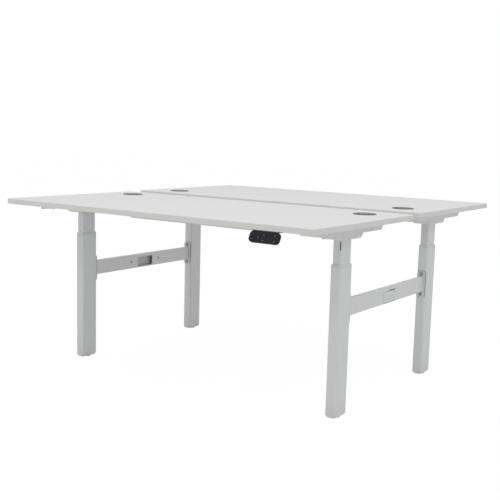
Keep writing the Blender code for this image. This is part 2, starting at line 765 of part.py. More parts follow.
def build_desk(desk_name, row, extension):
    """One desk: its top, the frame under it and the moving halves of its columns."""
    head = COLLAR_TOP + extension
    turn = 0.0 if row < 0 else math.pi
    desk = empty(f"{desk_name}_desk", (0.0, 0.0, head), turn)
    shift_x = -row * FRAME_SHIFT_X
    column_y = -row * FRAME_SHIFT_Y - COLUMN_SPREAD / 2
    park_travel = extension - PARKED_EXTENSION
    tube_length = head - GAP - (TOE_TOP + TUBE_END_CLEARANCE + park_travel)
    screw_length = head - (TOE_TOP + SCREW_END_CLEARANCE + park_travel)

    place(f"{desk_name}_top", top_mesh(), WHITE, (0.0, 0.0, TOP_UNDERSIDE), parent=desk)
    bracket = bracket_mesh()
    housing = housing_mesh()
    gear_motor = gear_motor_mesh()
    screw = screw_mesh(screw_length)
    rail_reach = (COLUMN_SPAN - HOUSING_WIDTH - SLEEVE_LENGTH) / 2 - GAP
    rail = rail_mesh(rail_reach + RAIL_OVERLAP)
    liner = liner_mesh()
    lid = lid_mesh()
    for side_name, side in SIDES:
        hand = -row * side
        column = (shift_x + hand * COLUMN_SPAN / 2, column_y, 0.0)
        prefix = f"{desk_name}_{side_name}"
        inner_tube = inner_tube_mesh(tube_length, slotted=hand > 0)
        hung = (column[0], column[1], -GAP)
        place(f"{prefix}_inner_tube", inner_tube, SILVER, hung, parent=desk)
        place(f"{prefix}_lifting_screw", screw, STEEL, column, parent=desk)
        place(f"{prefix}_motor_housing", housing, SILVER, column, parent=desk)
        place(f"{prefix}_gear_motor", gear_motor, CASING, column, parent=desk)
        inward = math.pi if hand > 0 else 0.0
        place(f"{prefix}_side_bracket", bracket, SILVER, column, inward, desk)
        rail_x = column[0] - hand * (HOUSING_WIDTH / 2 + GAP)
        place(f"{prefix}_crossbar_rail", rail, SILVER, (rail_x, column_y, 0.0), inward, desk)
        port = (hand * PORT_SPAN / 2, port_y(), TOP_SURFACE)
        place(f"{prefix}_port_liner", liner, GREY, port, parent=desk)
        place(f"{prefix}_port_lid", lid, GREY, port, hand * math.pi / 2, desk)

    place(f"{desk_name}_crossbar_sleeve", sleeve_mesh(), SILVER, (shift_x, column_y, 0.0), parent=desk)
    box_spot = (0.0, -TOP_SPACING / 2 - BOX_INSET - BOX_WIDTH / 2, TOP_UNDERSIDE - GAP - BOX_HEIGHT)
    place(f"{desk_name}_control_box", control_box_mesh(), BLACK, box_spot, parent=desk)
    place(f"{desk_name}_keypad", keypad_mesh(), BLACK, parent=desk)
    pivot = keypad_frame() @ Matrix.Translation((rocker_x(), 0.0, 0.0))
    rocker = place(f"{desk_name}_up_down_key", rocker_mesh(), GREY, pivot.translation, parent=desk)
    rocker.rotation_euler = pivot.to_euler()


for old in list(bpy.data.objects):
    bpy.data.objects.remove(old)

PARTS = collection("sit_stand_desk")
SIDES = (("left", -1), ("right", 1))
DESKS = (("front", -1), ("rear", 1))
WHITE = material("white_laminate", (0.74, 0.74, 0.73), 0.45, 0.0)
SILVER = material("silver_powder_coat", (0.48, 0.50, 0.49), 0.40, 0.2)
STEEL = material("bright_steel", (0.55, 0.55, 0.55), 0.30, 1.0)
CASING = material("motor_casing", (0.05, 0.05, 0.055), 0.45, 0.3)
BLACK = material("black_plastic", (0.03, 0.03, 0.035), 0.50, 0.0)
GREY = material("dark_grey_plastic", (0.09, 0.09, 0.10), 0.45, 0.0)

build_base()
build_desk("front", -1, FRONT_EXTENSION)
build_desk("rear", 1, REAR_EXTENSION)
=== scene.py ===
# %% [markdown]
# A double sit-stand desk, dressed for the camera.
# The imported CAD model already says where every piece is and how it moves. This lesson adds what a
# CAD solid lacks: smooth bends, seams, small fasteners and real finishes. Every new piece rides on
# a CAD body by its name.

# %% Load the frame
import math

import bmesh
import bpy
from mathutils import Matrix, Vector


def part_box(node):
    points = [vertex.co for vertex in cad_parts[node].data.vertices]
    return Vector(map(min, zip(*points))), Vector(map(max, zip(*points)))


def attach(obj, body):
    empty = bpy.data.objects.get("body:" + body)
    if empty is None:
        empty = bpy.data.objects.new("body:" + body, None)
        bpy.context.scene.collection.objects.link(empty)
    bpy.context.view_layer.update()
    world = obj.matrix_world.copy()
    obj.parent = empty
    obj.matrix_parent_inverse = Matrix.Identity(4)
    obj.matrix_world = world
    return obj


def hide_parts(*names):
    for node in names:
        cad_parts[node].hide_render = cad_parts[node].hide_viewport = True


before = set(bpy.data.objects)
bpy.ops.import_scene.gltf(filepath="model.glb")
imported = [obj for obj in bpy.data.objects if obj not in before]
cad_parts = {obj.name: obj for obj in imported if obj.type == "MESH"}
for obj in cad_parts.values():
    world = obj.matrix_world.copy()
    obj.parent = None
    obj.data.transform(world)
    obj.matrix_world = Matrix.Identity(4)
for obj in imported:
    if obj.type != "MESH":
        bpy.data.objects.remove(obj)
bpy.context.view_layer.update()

# %% [markdown]
# The camera stands to the right of the front desk, a little above the tops. Its place and lens were
# solved from straight edges of the desk in the photograph, so the perspective agrees without any
# shift. A camera could also be turned by hand until it looks right, but then the far legs drift.

# %% Camera
AIM = Vector((-0.05075, 0.0, 0.54904))
TURN, RISE, ROLL, DISTANCE = 0.61499, 0.13747, 0.02680, 3.99194
FOCAL_PIXELS, PHOTO_PIXELS = 836.1656, 500
back = Vector((math.sin(TURN) * math.cos(RISE), -math.cos(TURN) * math.cos(RISE), math.sin(RISE)))
level_right = (-back).cross(Vector((0.0, 0.0, 1.0))).normalized()
level_up = level_right.cross(-back)
right = math.cos(ROLL) * level_right + math.sin(ROLL) * level_up
up = math.cos(ROLL) * level_up - math.sin(ROLL) * level_right
bpy.ops.object.camera_add()
camera = bpy.context.object
camera.name = "desk_camera"
axes = Matrix((right, up, back)).transposed().to_4x4()
camera.matrix_world = Matrix.Translation(AIM + back * DISTANCE) @ axes
camera.data.sensor_width = 36.0
camera.data.lens = FOCAL_PIXELS / PHOTO_PIXELS * camera.data.sensor_width
camera.data.clip_end = 100.0
bpy.context.scene.camera = camera
print("camera at", [round(value, 3) for value in camera.matrix_world.translation])

# %% [markdown]
# The desk stands on a plain white studio floor. Most of what the camera sees of the floor is a plain
# white glow, so that the background stays white, and a small share of it is a real matt surface that
# keeps the desk's soft shadow. Only the camera and reflections see that glow, so it lights nothing.

# %% Floor and background
def node(tree, kind, inputs=None, **settings):
    """Shader node with its settings, and values or links on its sockets."""
    made = tree.nodes.new(kind)
    for key, value in settings.items():
        setattr(made, key, value)
    for socket, value in (inputs or {}).items():
        if isinstance(value, bpy.types.NodeSocket):
            tree.links.new(value, made.inputs[socket])
        else:
            made.inputs[socket].default_value = value
    return made


def seen_directly(tree):
    """1 for camera, mirror and glass rays, 0 for the rays that carry light."""
    rays = node(tree, "ShaderNodeLightPath").outputs
    seen = rays["Is Camera Ray"]
    for kind in ("Is Glossy Ray", "Is Transmission Ray"):
        seen = node(tree, "ShaderNodeMath", {0: seen, 1: rays[kind]}, operation="MAXIMUM").outputs[0]
    return seen


def clear_selection():
    """Object mode with nothing selected."""
    if bpy.context.mode != "OBJECT":
        bpy.ops.object.mode_set(mode="OBJECT")
    bpy.ops.object.select_all(action="DESELECT")


def settled(name):
    """Name the active piece and put its place into its mesh."""
    bpy.ops.object.transform_apply(location=True, rotation=True, scale=True)
    bpy.context.object.name = name
    return bpy.context.object


AMBIENT, FLOOR_GLOW = 0.55, 0.90
WHITE = (1.0, 1.0, 1.0, 1.0)
world = bpy.data.worlds.new("studio")
bpy.context.scene.world = world
world.use_nodes = True
tree = world.node_tree
strength = node(tree, "ShaderNodeMapRange", {"Value": seen_directly(tree), "To Min": AMBIENT, "To Max": 1.0})
tree.links.new(strength.outputs["Result"], tree.nodes["Background"].inputs["Strength"])
tree.nodes["Background"].inputs["Color"].default_value = WHITE

clear_selection()
bpy.ops.mesh.primitive_plane_add(size=60.0, location=(0.0, 0.0, -0.0002))
floor = settled("studio_floor")
paper = bpy.data.materials.new("white_floor")
paper.use_nodes = True
tree = paper.node_tree
tree.nodes.remove(tree.nodes["Principled BSDF"])
matt = node(tree, "ShaderNodeBsdfDiffuse", {"Color": (0.92, 0.92, 0.92, 1.0)})
glow = node(tree, "ShaderNodeEmission", {"Color": WHITE, "Strength": 1.05})
share = node(tree, "ShaderNodeMath", {0: seen_directly(tree), 1: FLOOR_GLOW}, operation="MULTIPLY")
mixed = node(tree, "ShaderNodeMixShader", {0: share.outputs[0], 1: matt.outputs[0], 2: glow.outputs[0]})
tree.links.new(mixed.outputs[0], tree.nodes["Material Output"].inputs["Surface"])
floor.data.materials.append(paper)
print("floor and background are white")

# %% [markdown]
# Soft studio light comes from a very large lamp overhead and three smaller ones. The lamps at the front
# and on the right stand high, so the overhanging tops throw a soft shadow on the upper ends of the
# columns, as in the photograph. Their level is plain: a white card on the tops would come out just below
# white.

# %% Lamps
def soft_lamp(name, place, aim, width, height, watts, colour=(1.0, 1.0, 1.0)):
    """Rectangular area lamp that faces a point."""
    clear_selection()
    bpy.ops.object.light_add(type="AREA", location=place)
    lamp = bpy.context.object
    lamp.name = name
    lamp.data.shape = "RECTANGLE"
    lamp.data.size, lamp.data.size_y = width, height
    lamp.data.energy = watts
    lamp.data.color = colour
    lamp.rotation_euler = (Vector(aim) - Vector(place)).to_track_quat("-Z", "Y").to_euler()


soft_lamp("overhead", (0.2, -0.2, 3.6), (0.1, 0.0, 0.6), 4.5, 4.5, 34.0)
soft_lamp("front_lamp", (-0.3, -4.2, 4.0), (-0.3, -0.46, 0.40), 3.5, 1.4, 24.0)
soft_lamp("right_lamp", (4.2, -0.6, 3.82), (0.70, -0.2, 0.67), 3.0, 0.9, 23.0, (0.90, 0.90, 1.0))
soft_lamp("low_front_fill", (-0.6, -5.0, 1.2), (0.0, 0.0, 0.5), 4.0, 2.0, 6.0)
print("four soft lamps")

# %% [markdown]
# The tops are melamine boards: white, with a very fine pearl grain that breaks up the gloss. The
# finish is a noise about as fine as that grain, in its colour and a shallow relief, and a coarser one
# in its roughness. Object coordinates are in metres here, so a grain size is written as it is on the
# real board.

# %% White laminate
NOISE_RANGE = (0.3, 0.7)
GLOSS_PATCH = 40


def new_finish(name, metallic):
    """Node material with its shader."""
    finish = bpy.data.materials.new(name)
    finish.use_nodes = True
    shader = finish.node_tree.nodes["Principled BSDF"]
    shader.inputs["Metallic"].default_value = metallic
    return finish, finish.node_tree, shader


def grain(tree, size, detail=2.0):
    """Noise whose spots are about this size in metres."""
    place = node(tree, "ShaderNodeTexCoord").outputs["Object"]
    noise = node(tree, "ShaderNodeTexNoise", {"Vector": place, "Scale": 1.0 / size, "Detail": detail})
    return noise.outputs["Fac"]


def shades(tree, value, dark, light):
    """Colour between two shades."""
    ramp = node(tree, "ShaderNodeValToRGB", {"Fac": value})
    for stop, position, shade in zip(ramp.color_ramp.elements, NOISE_RANGE, (dark, light)):
        stop.position = position
        stop.color = (*shade, 1.0)
    return ramp.outputs["Color"]


def ranged(tree, value, source, target):
    """Value carried from one range to another."""
    limits = dict(zip(("From Min", "From Max", "To Min", "To Max"), (*source, *target)))
    return node(tree, "ShaderNodeMapRange", {"Value": value, **limits}).outputs["Result"]


def relief(tree, shader, height, depth, strength):
    """Bump of a depth in metres."""
    bump = node(tree, "ShaderNodeBump", {"Height": height, "Distance": depth, "Strength": strength})
    tree.links.new(bump.outputs["Normal"], shader.inputs["Normal"])


def speckled(name, dark, light, roughness, size=0.0008, depth=0.0001, strength=0.15,
             metallic=0.0, specular=0.5):
    """Finish with a fine grain in its colour and relief, and wider patches in its gloss."""
    finish, tree, shader = new_finish(name, metallic)
    shader.inputs["Specular IOR Level"].default_value = specular
    fine = grain(tree, size)
    tree.links.new(shades(tree, fine, dark, light), shader.inputs["Base Color"])
    gloss = ranged(tree, grain(tree, size * GLOSS_PATCH), NOISE_RANGE, roughness)
    tree.links.new(gloss, shader.inputs["Roughness"])
    relief(tree, shader, fine, depth, strength)
    return finish


laminate = speckled("white_laminate", (0.765, 0.766, 0.762), (0.800, 0.801, 0.797),
                    (0.50, 0.58), size=0.0011, depth=0.0002, specular=0.10)
edge_band = speckled("white_edge_band", (0.700, 0.707, 0.668), (0.735, 0.742, 0.703),
                     (0.46, 0.54), size=0.0014, depth=0.0002)
print("laminate and edge band")

# %% [markdown]
# All the frame's steel is powder coated in a cool silver. Such a coat has three scales: a soft orange
# peel of a few millimetres, metal flakes finer than a grain of sand, and faint scuffs near the floor
# where shoes reach. The height in the object's own coordinates says where the scuffs may be. Faces that
# look up are painted paler: painted light that lifts the shade the tops throw on them, so the direction of a
# face says how much of it they get.

# %% Silver powder coat
FLAKE, PEEL, SCUFF_PATCH, WORN_PATCH = 0.0006, 0.0022, 0.012, 0.03
SCUFF_HEIGHTS, SCUFF_SHARES = (0.01, 0.09), (0.45, 0.0)
# Painted light: faces whose normal looks up are blended towards a pale colour.
TOP_LIGHT_NORMALS, TOP_LIGHT_SHARES = (0.3, 0.9), (0.0, 0.75)


def blend(tree, share, first, second):
    """Two colours mixed by a share."""
    mix = node(tree, "ShaderNodeMix", {"Factor": share, 6: first, 7: second}, data_type="RGBA")
    return mix.outputs[2]


def powder_coat(name, dark, light, scuff, top_light):
    """Coat with flakes, orange peel, scuffs near the floor and painted light on what faces up."""
    finish, tree, shader = new_finish(name, 0.15)
    coat = shades(tree, grain(tree, FLAKE, 1.0), dark, light)
    place = node(tree, "ShaderNodeTexCoord").outputs["Object"]
    height = node(tree, "ShaderNodeSeparateXYZ", {0: place}).outputs["Z"]
    near_floor = ranged(tree, height, SCUFF_HEIGHTS, SCUFF_SHARES)
    patches = ranged(tree, grain(tree, SCUFF_PATCH, 4.0), NOISE_RANGE, (0.0, 1.0))
    rubbed = node(tree, "ShaderNodeMath", {0: near_floor, 1: patches}, operation="MULTIPLY").outputs[0]
    worn = blend(tree, rubbed, coat, (*scuff, 1.0))
    # Painted light: the more a face looks up, the more it is mixed towards the pale colour.
    normal = node(tree, "ShaderNodeNewGeometry").outputs["Normal"]
    faces_up = node(tree, "ShaderNodeSeparateXYZ", {0: normal}).outputs["Z"]
    top_light_share = ranged(tree, faces_up, TOP_LIGHT_NORMALS, TOP_LIGHT_SHARES)
    tree.links.new(blend(tree, top_light_share, worn, (*top_light, 1.0)), shader.inputs["Base Color"])
    gloss = ranged(tree, grain(tree, WORN_PATCH), NOISE_RANGE, (0.40, 0.50))
    tree.links.new(gloss, shader.inputs["Roughness"])
    relief(tree, shader, grain(tree, PEEL, 1.0), 0.0002, 0.12)
    return finish


# The last colour is the painted light for faces that look up.
silver = powder_coat("silver_powder_coat", (0.641, 0.655, 0.643), (0.726, 0.741, 0.728),
                     scuff=(0.50, 0.50, 0.49), top_light=(0.90, 0.905, 0.895))
print("silver coat")

# %% [markdown]
# The small pieces have finishes of their own: spark-eroded black plastic on the cases, a smoother dark
# grey on the cable ports, a satin black face with a glossy display on the keypads, pale grey print,
# bare steel that is partly painted shade, dark steel that paints the shade in a slot, zinc-plated steel,
# black rubber that paints a shadow line and mid-grey nylon feet.

# %% Small finishes
black_plastic = speckled("black_moulded_plastic", (0.020, 0.021, 0.024), (0.034, 0.035, 0.039),
                         (0.46, 0.58), size=0.0005, depth=0.0002, strength=0.35)
port_plastic = speckled("dark_grey_moulded_plastic", (0.060, 0.062, 0.066), (0.085, 0.087, 0.092),
                        (0.38, 0.48), size=0.0006, strength=0.25, specular=0.15)
lid_plastic = speckled("mid_grey_moulded_plastic", (0.095, 0.098, 0.104), (0.125, 0.128, 0.134),
                       (0.38, 0.48), size=0.0006, strength=0.25, specular=0.15)
satin_black = speckled("satin_black_face", (0.008, 0.0085, 0.011), (0.013, 0.0135, 0.017),
                       (0.42, 0.52), size=0.0004, specular=0.16)
display_glass = speckled("display_glass", (0.008, 0.008, 0.010), (0.011, 0.011, 0.013),
                         (0.20, 0.28), size=0.0300, strength=0.02, specular=0.20)
print_grey = speckled("grey_print", (0.170, 0.173, 0.180), (0.205, 0.208, 0.215), (0.45, 0.55), size=0.0004)
# Bare steel for the plate inside the beams, set darker than the coat: partly the steel's own tone, partly
# painted shade.
bare_steel_and_shade = speckled("bare_rolled_steel", (0.460, 0.463, 0.470), (0.550, 0.553, 0.560),
                      (0.45, 0.55), size=0.0020, metallic=0.2)
bolt_steel = speckled("dark_bolt_steel", (0.290, 0.293, 0.300), (0.370, 0.373, 0.380),
                      (0.40, 0.50), strength=0.20, metallic=0.2)
# Dark steel for the strip that paints the shade inside the column slots.
slot_shade_steel = speckled("blackened_steel", (0.090, 0.092, 0.096), (0.130, 0.132, 0.136),
                      (0.50, 0.60), strength=0.20, metallic=0.2)
zinc = speckled("zinc_plated_steel", (0.500, 0.505, 0.515), (0.600, 0.605, 0.615),
                (0.30, 0.42), strength=0.20, metallic=0.9)
# Black rubber behind the rear flanges paints the shadow in the gap round them.
shadow_line_rubber = speckled("black_rubber", (0.014, 0.014, 0.015), (0.024, 0.024, 0.025),
                  (0.68, 0.80), depth=0.0003, strength=0.30)
foot_nylon = speckled("grey_nylon", (0.100, 0.102, 0.104), (0.130, 0.132, 0.134),
                      (0.60, 0.72), depth=0.0002, strength=0.25)
shadow_black = speckled("deep_shadow", (0.010, 0.010, 0.011), (0.016, 0.016, 0.017),
                        (0.75, 0.85), size=0.0010)
contact_brass = speckled("brass_contact", (0.560, 0.400, 0.150), (0.660, 0.480, 0.190),
                         (0.25, 0.35), metallic=1.0)
print("small finishes ready")

# %% [markdown]
# A desk top is a board with a thin band glued round its edge. The board starts as a cube whose upright
# corners are rounded, then the holes for the cable ports are cut. The band is the same rounded block
# with its middle taken out: both flat faces are inset by the band's thickness and bridged.

# %% Modelling helpers for blocks
HAIR = 1e-5
X, Y, Z = range(3)


def activate(piece):
    """Make one piece the only selected and active one."""
    clear_selection()
    piece.select_set(True)
    bpy.context.view_layer.objects.active = piece


def block(name, low, high, spot=(0.0, 0.0, 0.0)):
    """Cube between two corners, measured from a spot, with its place in its mesh."""
    clear_selection()
    low, high = Vector(spot) + Vector(low), Vector(spot) + Vector(high)
    bpy.ops.mesh.primitive_cube_add(size=1.0, location=(low + high) / 2, scale=high - low)
    return settled(name)


def open_shape(piece, kind):
    """Edit mode on one piece, with nothing chosen yet."""
    activate(piece)
    bpy.ops.object.mode_set(mode="EDIT")
    bpy.ops.mesh.select_mode(type=kind)
    bpy.ops.mesh.select_all(action="DESELECT")
    return bmesh.from_edit_mesh(piece.data)


def close_shape():
    """Back to object mode."""
    bpy.ops.object.mode_set(mode="OBJECT")


def pick_edges(piece, test):
    """Choose the edges whose middle and direction pass a test."""
    shape = open_shape(piece, "EDGE")
    for edge in shape.edges:
        start, end = edge.verts[0].co, edge.verts[1].co
        edge.select_set(bool(test((start + end) / 2, (end - start).normalized())))
    bmesh.update_edit_mesh(piece.data)


def pick_faces(piece, test):
    """Choose the faces whose middle and normal pass a test."""
    shape = open_shape(piece, "FACE")
    for face in shape.faces:
        face.select_set(bool(test(face.calc_center_median(), face.normal)))
    bmesh.update_edit_mesh(piece.data)


def runs(direction, along):
    """Whether a direction is nearly that of an axis."""
    return abs(direction[along]) > 0.9


def beyond(along, limit):
    """Test for edges or faces that lie further along an axis than a limit."""
    return lambda middle, direction: middle[along] > limit


def below(height):
    """Test for edges or faces that lie under a height."""
    return lambda middle, direction: middle.z < height


def round_edges(piece, radius, steps, test):
    """Round the chosen edges."""
    pick_edges(piece, test)
    bpy.ops.mesh.bevel(offset=radius, segments=steps, affect="EDGES")
    close_shape()


def rounded_block(name, low, high, radius, steps, along, spot=(0.0, 0.0, 0.0)):
    """Block whose four edges along one axis are round."""
    piece = block(name, low, high, spot)
    round_edges(piece, radius, steps, lambda middle, direction: runs(direction, along))
    return piece


def hollow_out(piece, wall, along):
    """Open a block from end to end, leaving a wall."""
    pick_faces(piece, lambda middle, normal: runs(normal, along))
    bpy.ops.mesh.inset(thickness=wall)
    bpy.ops.mesh.bridge_edge_loops()
    close_shape()


def drum(name, centre, radius, length, sides=64, along=Z):
    """Cylinder about a centre, with its place in its mesh."""
    clear_selection()
    turn = ((0.0, math.pi / 2, 0.0), (math.pi / 2, 0.0, 0.0), (0.0, 0.0, 0.0))[along]
    bpy.ops.mesh.primitive_cylinder_add(vertices=sides, radius=radius, depth=length,
                                        location=centre, rotation=turn)
    return settled(name)


def combine(piece, operation, tools, solver="EXACT"):
    """Cut tools from a piece, or weld them to it."""
    for tool in tools:
        activate(piece)
        boolean = piece.modifiers.new("shape", "BOOLEAN")
        boolean.operation = operation
        boolean.solver = solver
        boolean.object = tool
        bpy.ops.object.modifier_apply(modifier=boolean.name)
        bpy.data.objects.remove(tool)


def cut_out(piece, *tools):
    """Take tools away from a piece."""
    combine(piece, "DIFFERENCE", tools)


print("block helpers ready")

# %% Finishing helpers
def even_shading(*pieces):
    """Smooth shading that keeps flat faces flat beside rounded edges."""
    for piece in pieces:
        activate(piece)
        bpy.ops.object.shade_smooth_by_angle(angle=math.radians(40.0))
        piece.modifiers.new("flat faces", "WEIGHTED_NORMAL").keep_sharp = True
        bpy.ops.object.modifier_apply(modifier="flat faces")


def fit(piece, finish, body, slot, *nodes):
    """Give a piece its finish and its body, and hide the CAD nodes that it stands for. The slot is not used.
    """
    piece.data.materials.clear()
    piece.data.materials.append(finish)
    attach(piece, body)
    if nodes:
        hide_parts(*nodes)


def copy_of(piece, name, place):
    """Copy with its own mesh, carried to its place by a matrix. It keeps what the piece was fitted with."""
    activate(piece)
    bpy.ops.object.duplicate()
    bpy.context.object.matrix_world = place
    return settled(name)


def middle_of(node_name):
    """Middle of a CAD node."""
    low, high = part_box(node_name)
    return (low + high) / 2


def from_to(source, target, turned=False):
    """Matrix from one CAD node to its twin, which may be turned half round."""
    turn = Matrix.Rotation(math.pi, 4, "Z") if turned else Matrix.Identity(4)
    return Matrix.Translation(middle_of(target)) @ turn @ Matrix.Translation(-middle_of(source))


DESKS = ("front", "rear")
DESK_BODIES = ("front_desk", "rear_desk")
CORNERS = ("front_left", "front_right", "rear_left", "rear_right")
TO_REAR = from_to("front_top", "rear_top", True)


def fit_pair(piece, finish, slot, nodes=(), place=TO_REAR, words=DESKS, bodies=DESK_BODIES):
    """Fit a piece and its twin, which a matrix carries to the other desk or the other end."""
    twin = copy_of(piece, piece.name.replace(*words), place)
    for made, word, body in zip((piece, twin), words, bodies):
        fit(made, finish, body, slot, *[f"{word}_{name}" for name in nodes])


print("rear desk is the front one turned and lifted by", round(TO_REAR.translation.z, 4))

# %% Tops and edge bands
BAND = 0.002
CORNER_RADIUS = 0.020
PORT_RADIUS = 0.040
low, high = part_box("front_top")
centre = (low + high) / 2
ports = [middle_of(f"front_{side}_port_liner") for side in ("left", "right")]


def on_flat_face(middle):
    """Whether an edge lies on the upper or the lower face."""
    return min(abs(middle.z - low.z), abs(middle.z - high.z)) < HAIR


def on_top_rim(middle, direction):
    """Edges of the flat faces, apart from the port holes."""
    return on_flat_face(middle) and all((middle - port).xy.length > PORT_RADIUS + 0.01 for port in ports)


def on_outside(middle, direction):
    """Edges of the flat faces on the band's outer outline."""
    reach_x = max(abs(middle.x) - (high.x - CORNER_RADIUS), 0.0)
    reach_y = max(abs(middle.y - centre.y) - ((high.y - low.y) / 2 - CORNER_RADIUS), 0.0)
    return on_flat_face(middle) and math.hypot(reach_x, reach_y) > CORNER_RADIUS - BAND / 2


inset = Vector((BAND, BAND, 0.0))
board = rounded_block("front_top_board", low + inset, high - inset, CORNER_RADIUS - BAND, 10, Z)
cut_out(board, *[drum("port_drill", port, PORT_RADIUS, 0.2) for port in ports])
round_edges(board, 0.0003, 1, on_top_rim)
band = rounded_block("front_top_edge_band", low, high, CORNER_RADIUS, 10, Z)
hollow_out(band, BAND, Z)
round_edges(band, 0.0014, 3, on_outside)
even_shading(board, band)
fit_pair(board, laminate, "top_laminate", ["top"])
fit_pair(band, edge_band, "top_laminate")
print("tops:", len(board.data.polygons), "faces each")

# %% [markdown]
# Each cable port is a liner with a thin flange that lies on the board, and a lid that turns in it. Both
# are turned shapes: a single point is extruded along the half section and then spun round the port's
# axis. The lid's notch for cables is cut with a rounded block. One port is modelled, and its copies go
# to the other corners.

# %% Helpers for turned pieces and corners
def extrude(step):
    """Extrude what is chosen by a step."""
    bpy.ops.mesh.extrude_region_move(TRANSFORM_OT_translate={"value": step})


def turned_piece(name, section, centre, steps, closed):
    """Half section of (radius, height) points, spun about an upright axis."""
    clear_selection()
    points = [Vector((centre[0] + radius, centre[1], centre[2] + height)) for radius, height in section]
    bpy.ops.mesh.primitive_plane_add(size=0.001, location=points[0])
    piece = settled(name)
    bpy.ops.object.mode_set(mode="EDIT")
    bpy.ops.mesh.select_mode(type="VERT")
    bpy.ops.mesh.select_all(action="SELECT")
    bpy.ops.mesh.merge(type="CENTER")
    route = points[1:] + (points[:1] if closed else [])
    for start, end in zip(points, route):
        extrude(end - start)
    bpy.ops.mesh.select_all(action="SELECT")
    bpy.ops.mesh.remove_doubles(threshold=HAIR)
    bpy.ops.mesh.spin(steps=steps, angle=2 * math.pi, center=centre, axis=(0.0, 0.0, 1.0))
    bpy.ops.mesh.select_all(action="SELECT")
    bpy.ops.mesh.remove_doubles(threshold=HAIR)
    bpy.ops.mesh.normals_make_consistent(inside=False)
    close_shape()
    return piece


def fit_corners(piece, finish, body, slot, guide, turned="", nodes=()):
    """Fit a front left piece and its copies at all corners, each placed by a CAD node there."""
    made = {}
    for corner in CORNERS:
        desk, side = corner.split("_")
        place = from_to(f"front_left_{guide}", f"{corner}_{guide}", turned in (desk, side))
        name = piece.name.replace("front_left", corner)
        made[corner] = copy_of(piece, name, place) if made else piece
        stands_for = [f"{corner}_{word}" for word in nodes]
        fit(made[corner], finish, body.format(desk=desk, corner=corner), slot, *stands_for)
    return made


print("turning helper ready")

# %% Cable ports
LID_RADIUS, LID_RIM = 0.0370, 0.0023
NOTCH_HALF = Vector((0.014, 0.010, 0.020))
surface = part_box("front_top")[1].z
centre = Vector((ports[0].x, ports[0].y, surface))
liner_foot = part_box("front_left_port_liner")[0].z - surface


def on_notch_rim(middle, direction):
    """Edges of the lid's raised rim along the notch."""
    out = (middle - centre).xy.length
    beside_notch = middle.x > centre.x + 0.022 and abs(middle.y - centre.y) < NOTCH_HALF.y + 0.0001
    return beside_notch and abs(middle.z - surface - LID_RIM) < HAIR and 0.0235 < out < LID_RADIUS - 0.0007


liner = turned_piece("front_left_liner", [
    (0.0379, 0.0023), (0.0470, 0.0023), (0.0475, 0.0022), (0.0479, 0.0018), (0.0480, 0.0013),
    (0.0480, 0.0003), (0.0397, 0.0003), (0.0397, liner_foot), (0.0367, liner_foot), (0.0367, -0.0030),
    (0.0345, -0.0030), (0.0345, -0.0010), (0.0375, -0.0010), (0.0375, 0.0019)], centre, 72, True)
lid = turned_piece("front_left_lid", [
    (0.0, 0.0018), (0.0296, 0.0018), (0.0304, LID_RIM), (0.0364, LID_RIM), (0.0369, 0.0020),
    (LID_RADIUS, 0.0015), (LID_RADIUS, -0.0007), (0.0, -0.0007)], centre, 72, False)
notch_end = centre + Vector((LID_RADIUS, 0.0, 0.0))
cut_out(lid, rounded_block("notch", -NOTCH_HALF, NOTCH_HALF, 0.004, 6, Z, notch_end))
round_edges(lid, 0.0004, 2, on_notch_rim)
even_shading(liner, lid)
fit_corners(liner, port_plastic, "{desk}_desk", "grey_plastic", "port_liner", "right", ["port_liner"])
fit_corners(lid, lid_plastic, "{corner}_lid", "grey_plastic", "port_liner", "right", ["port_lid"])
print("four ports, each a liner and a lid")

# %% [markdown]
# Each outer column tube is drawn steel with softly rounded corners, closed at the bottom by a rounded
# toe. The toe is bevelled first, while the corners are still sharp; then the corner edges, which now
# run down and round the toe, are bevelled in one go. That gives a smooth corner without any poles. The
# toe comes down round the levelling foot, which stands in a round recess and hardly shows.

# %% Outer tubes
TOE_LIP = Vector((0.0, 0.0, 0.0045))
TOE_RADIUS, TUBE_RADIUS, TUBE_WALL = 0.012, 0.010, 0.002
TOE_PLATE = 0.008
low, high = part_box("front_left_outer_tube")
sole_z = low.z
low = low - TOE_LIP
centre = (low + high) / 2
near_corner = (high - low) / 2 - Vector((TOE_RADIUS + 0.0002, TOE_RADIUS + 0.0002, 0.0))


def on_tube_corner(middle, direction):
    """Corner edges, upright on the tube and slanting round the toe."""
    at_corner = abs(middle.x - centre.x) > near_corner.x and abs(middle.y - centre.y) > near_corner.y
    slanting = abs(abs(direction.x) - abs(direction.y)) < 0.02
    return at_corner and middle.z > low.z + HAIR and (runs(direction, Z) or slanting)


tube = block("front_left_outer_column", low, high)
round_edges(tube, TOE_RADIUS, 8, below(low.z + HAIR))
round_edges(tube, TUBE_RADIUS, 8, on_tube_corner)
pick_faces(tube, beyond(Z, high.z - HAIR))
bpy.ops.mesh.inset(thickness=TUBE_WALL)
extrude((0.0, 0.0, sole_z + TOE_PLATE - high.z))
close_shape()
recess = drum("foot_recess", (centre.x, centre.y, sole_z - 0.010), 0.0186, 0.020, 48)
stem_hole = drum("stem_hole", (centre.x, centre.y, sole_z), 0.0053, 0.05, 32)
combine(tube, "DIFFERENCE", [recess, stem_hole], "MANIFOLD")
even_shading(tube)
fit_corners(tube, silver, "base", "silver_coat", "outer_tube", nodes=["outer_tube"])
print("outer tubes:", len(tube.data.polygons), "faces each")

# %% [markdown]
# A collar closes the outer tube's mouth and guides the inner tube. Its shoulder is a quarter of an
# ellipse, so the flat outline is inset step by step, each step a little further in and less far up. The
# shoulder reaches further in at the front and back than at the sides, so every step is also scaled there.
# A skirt goes down inside the outer tube and closes the ring.

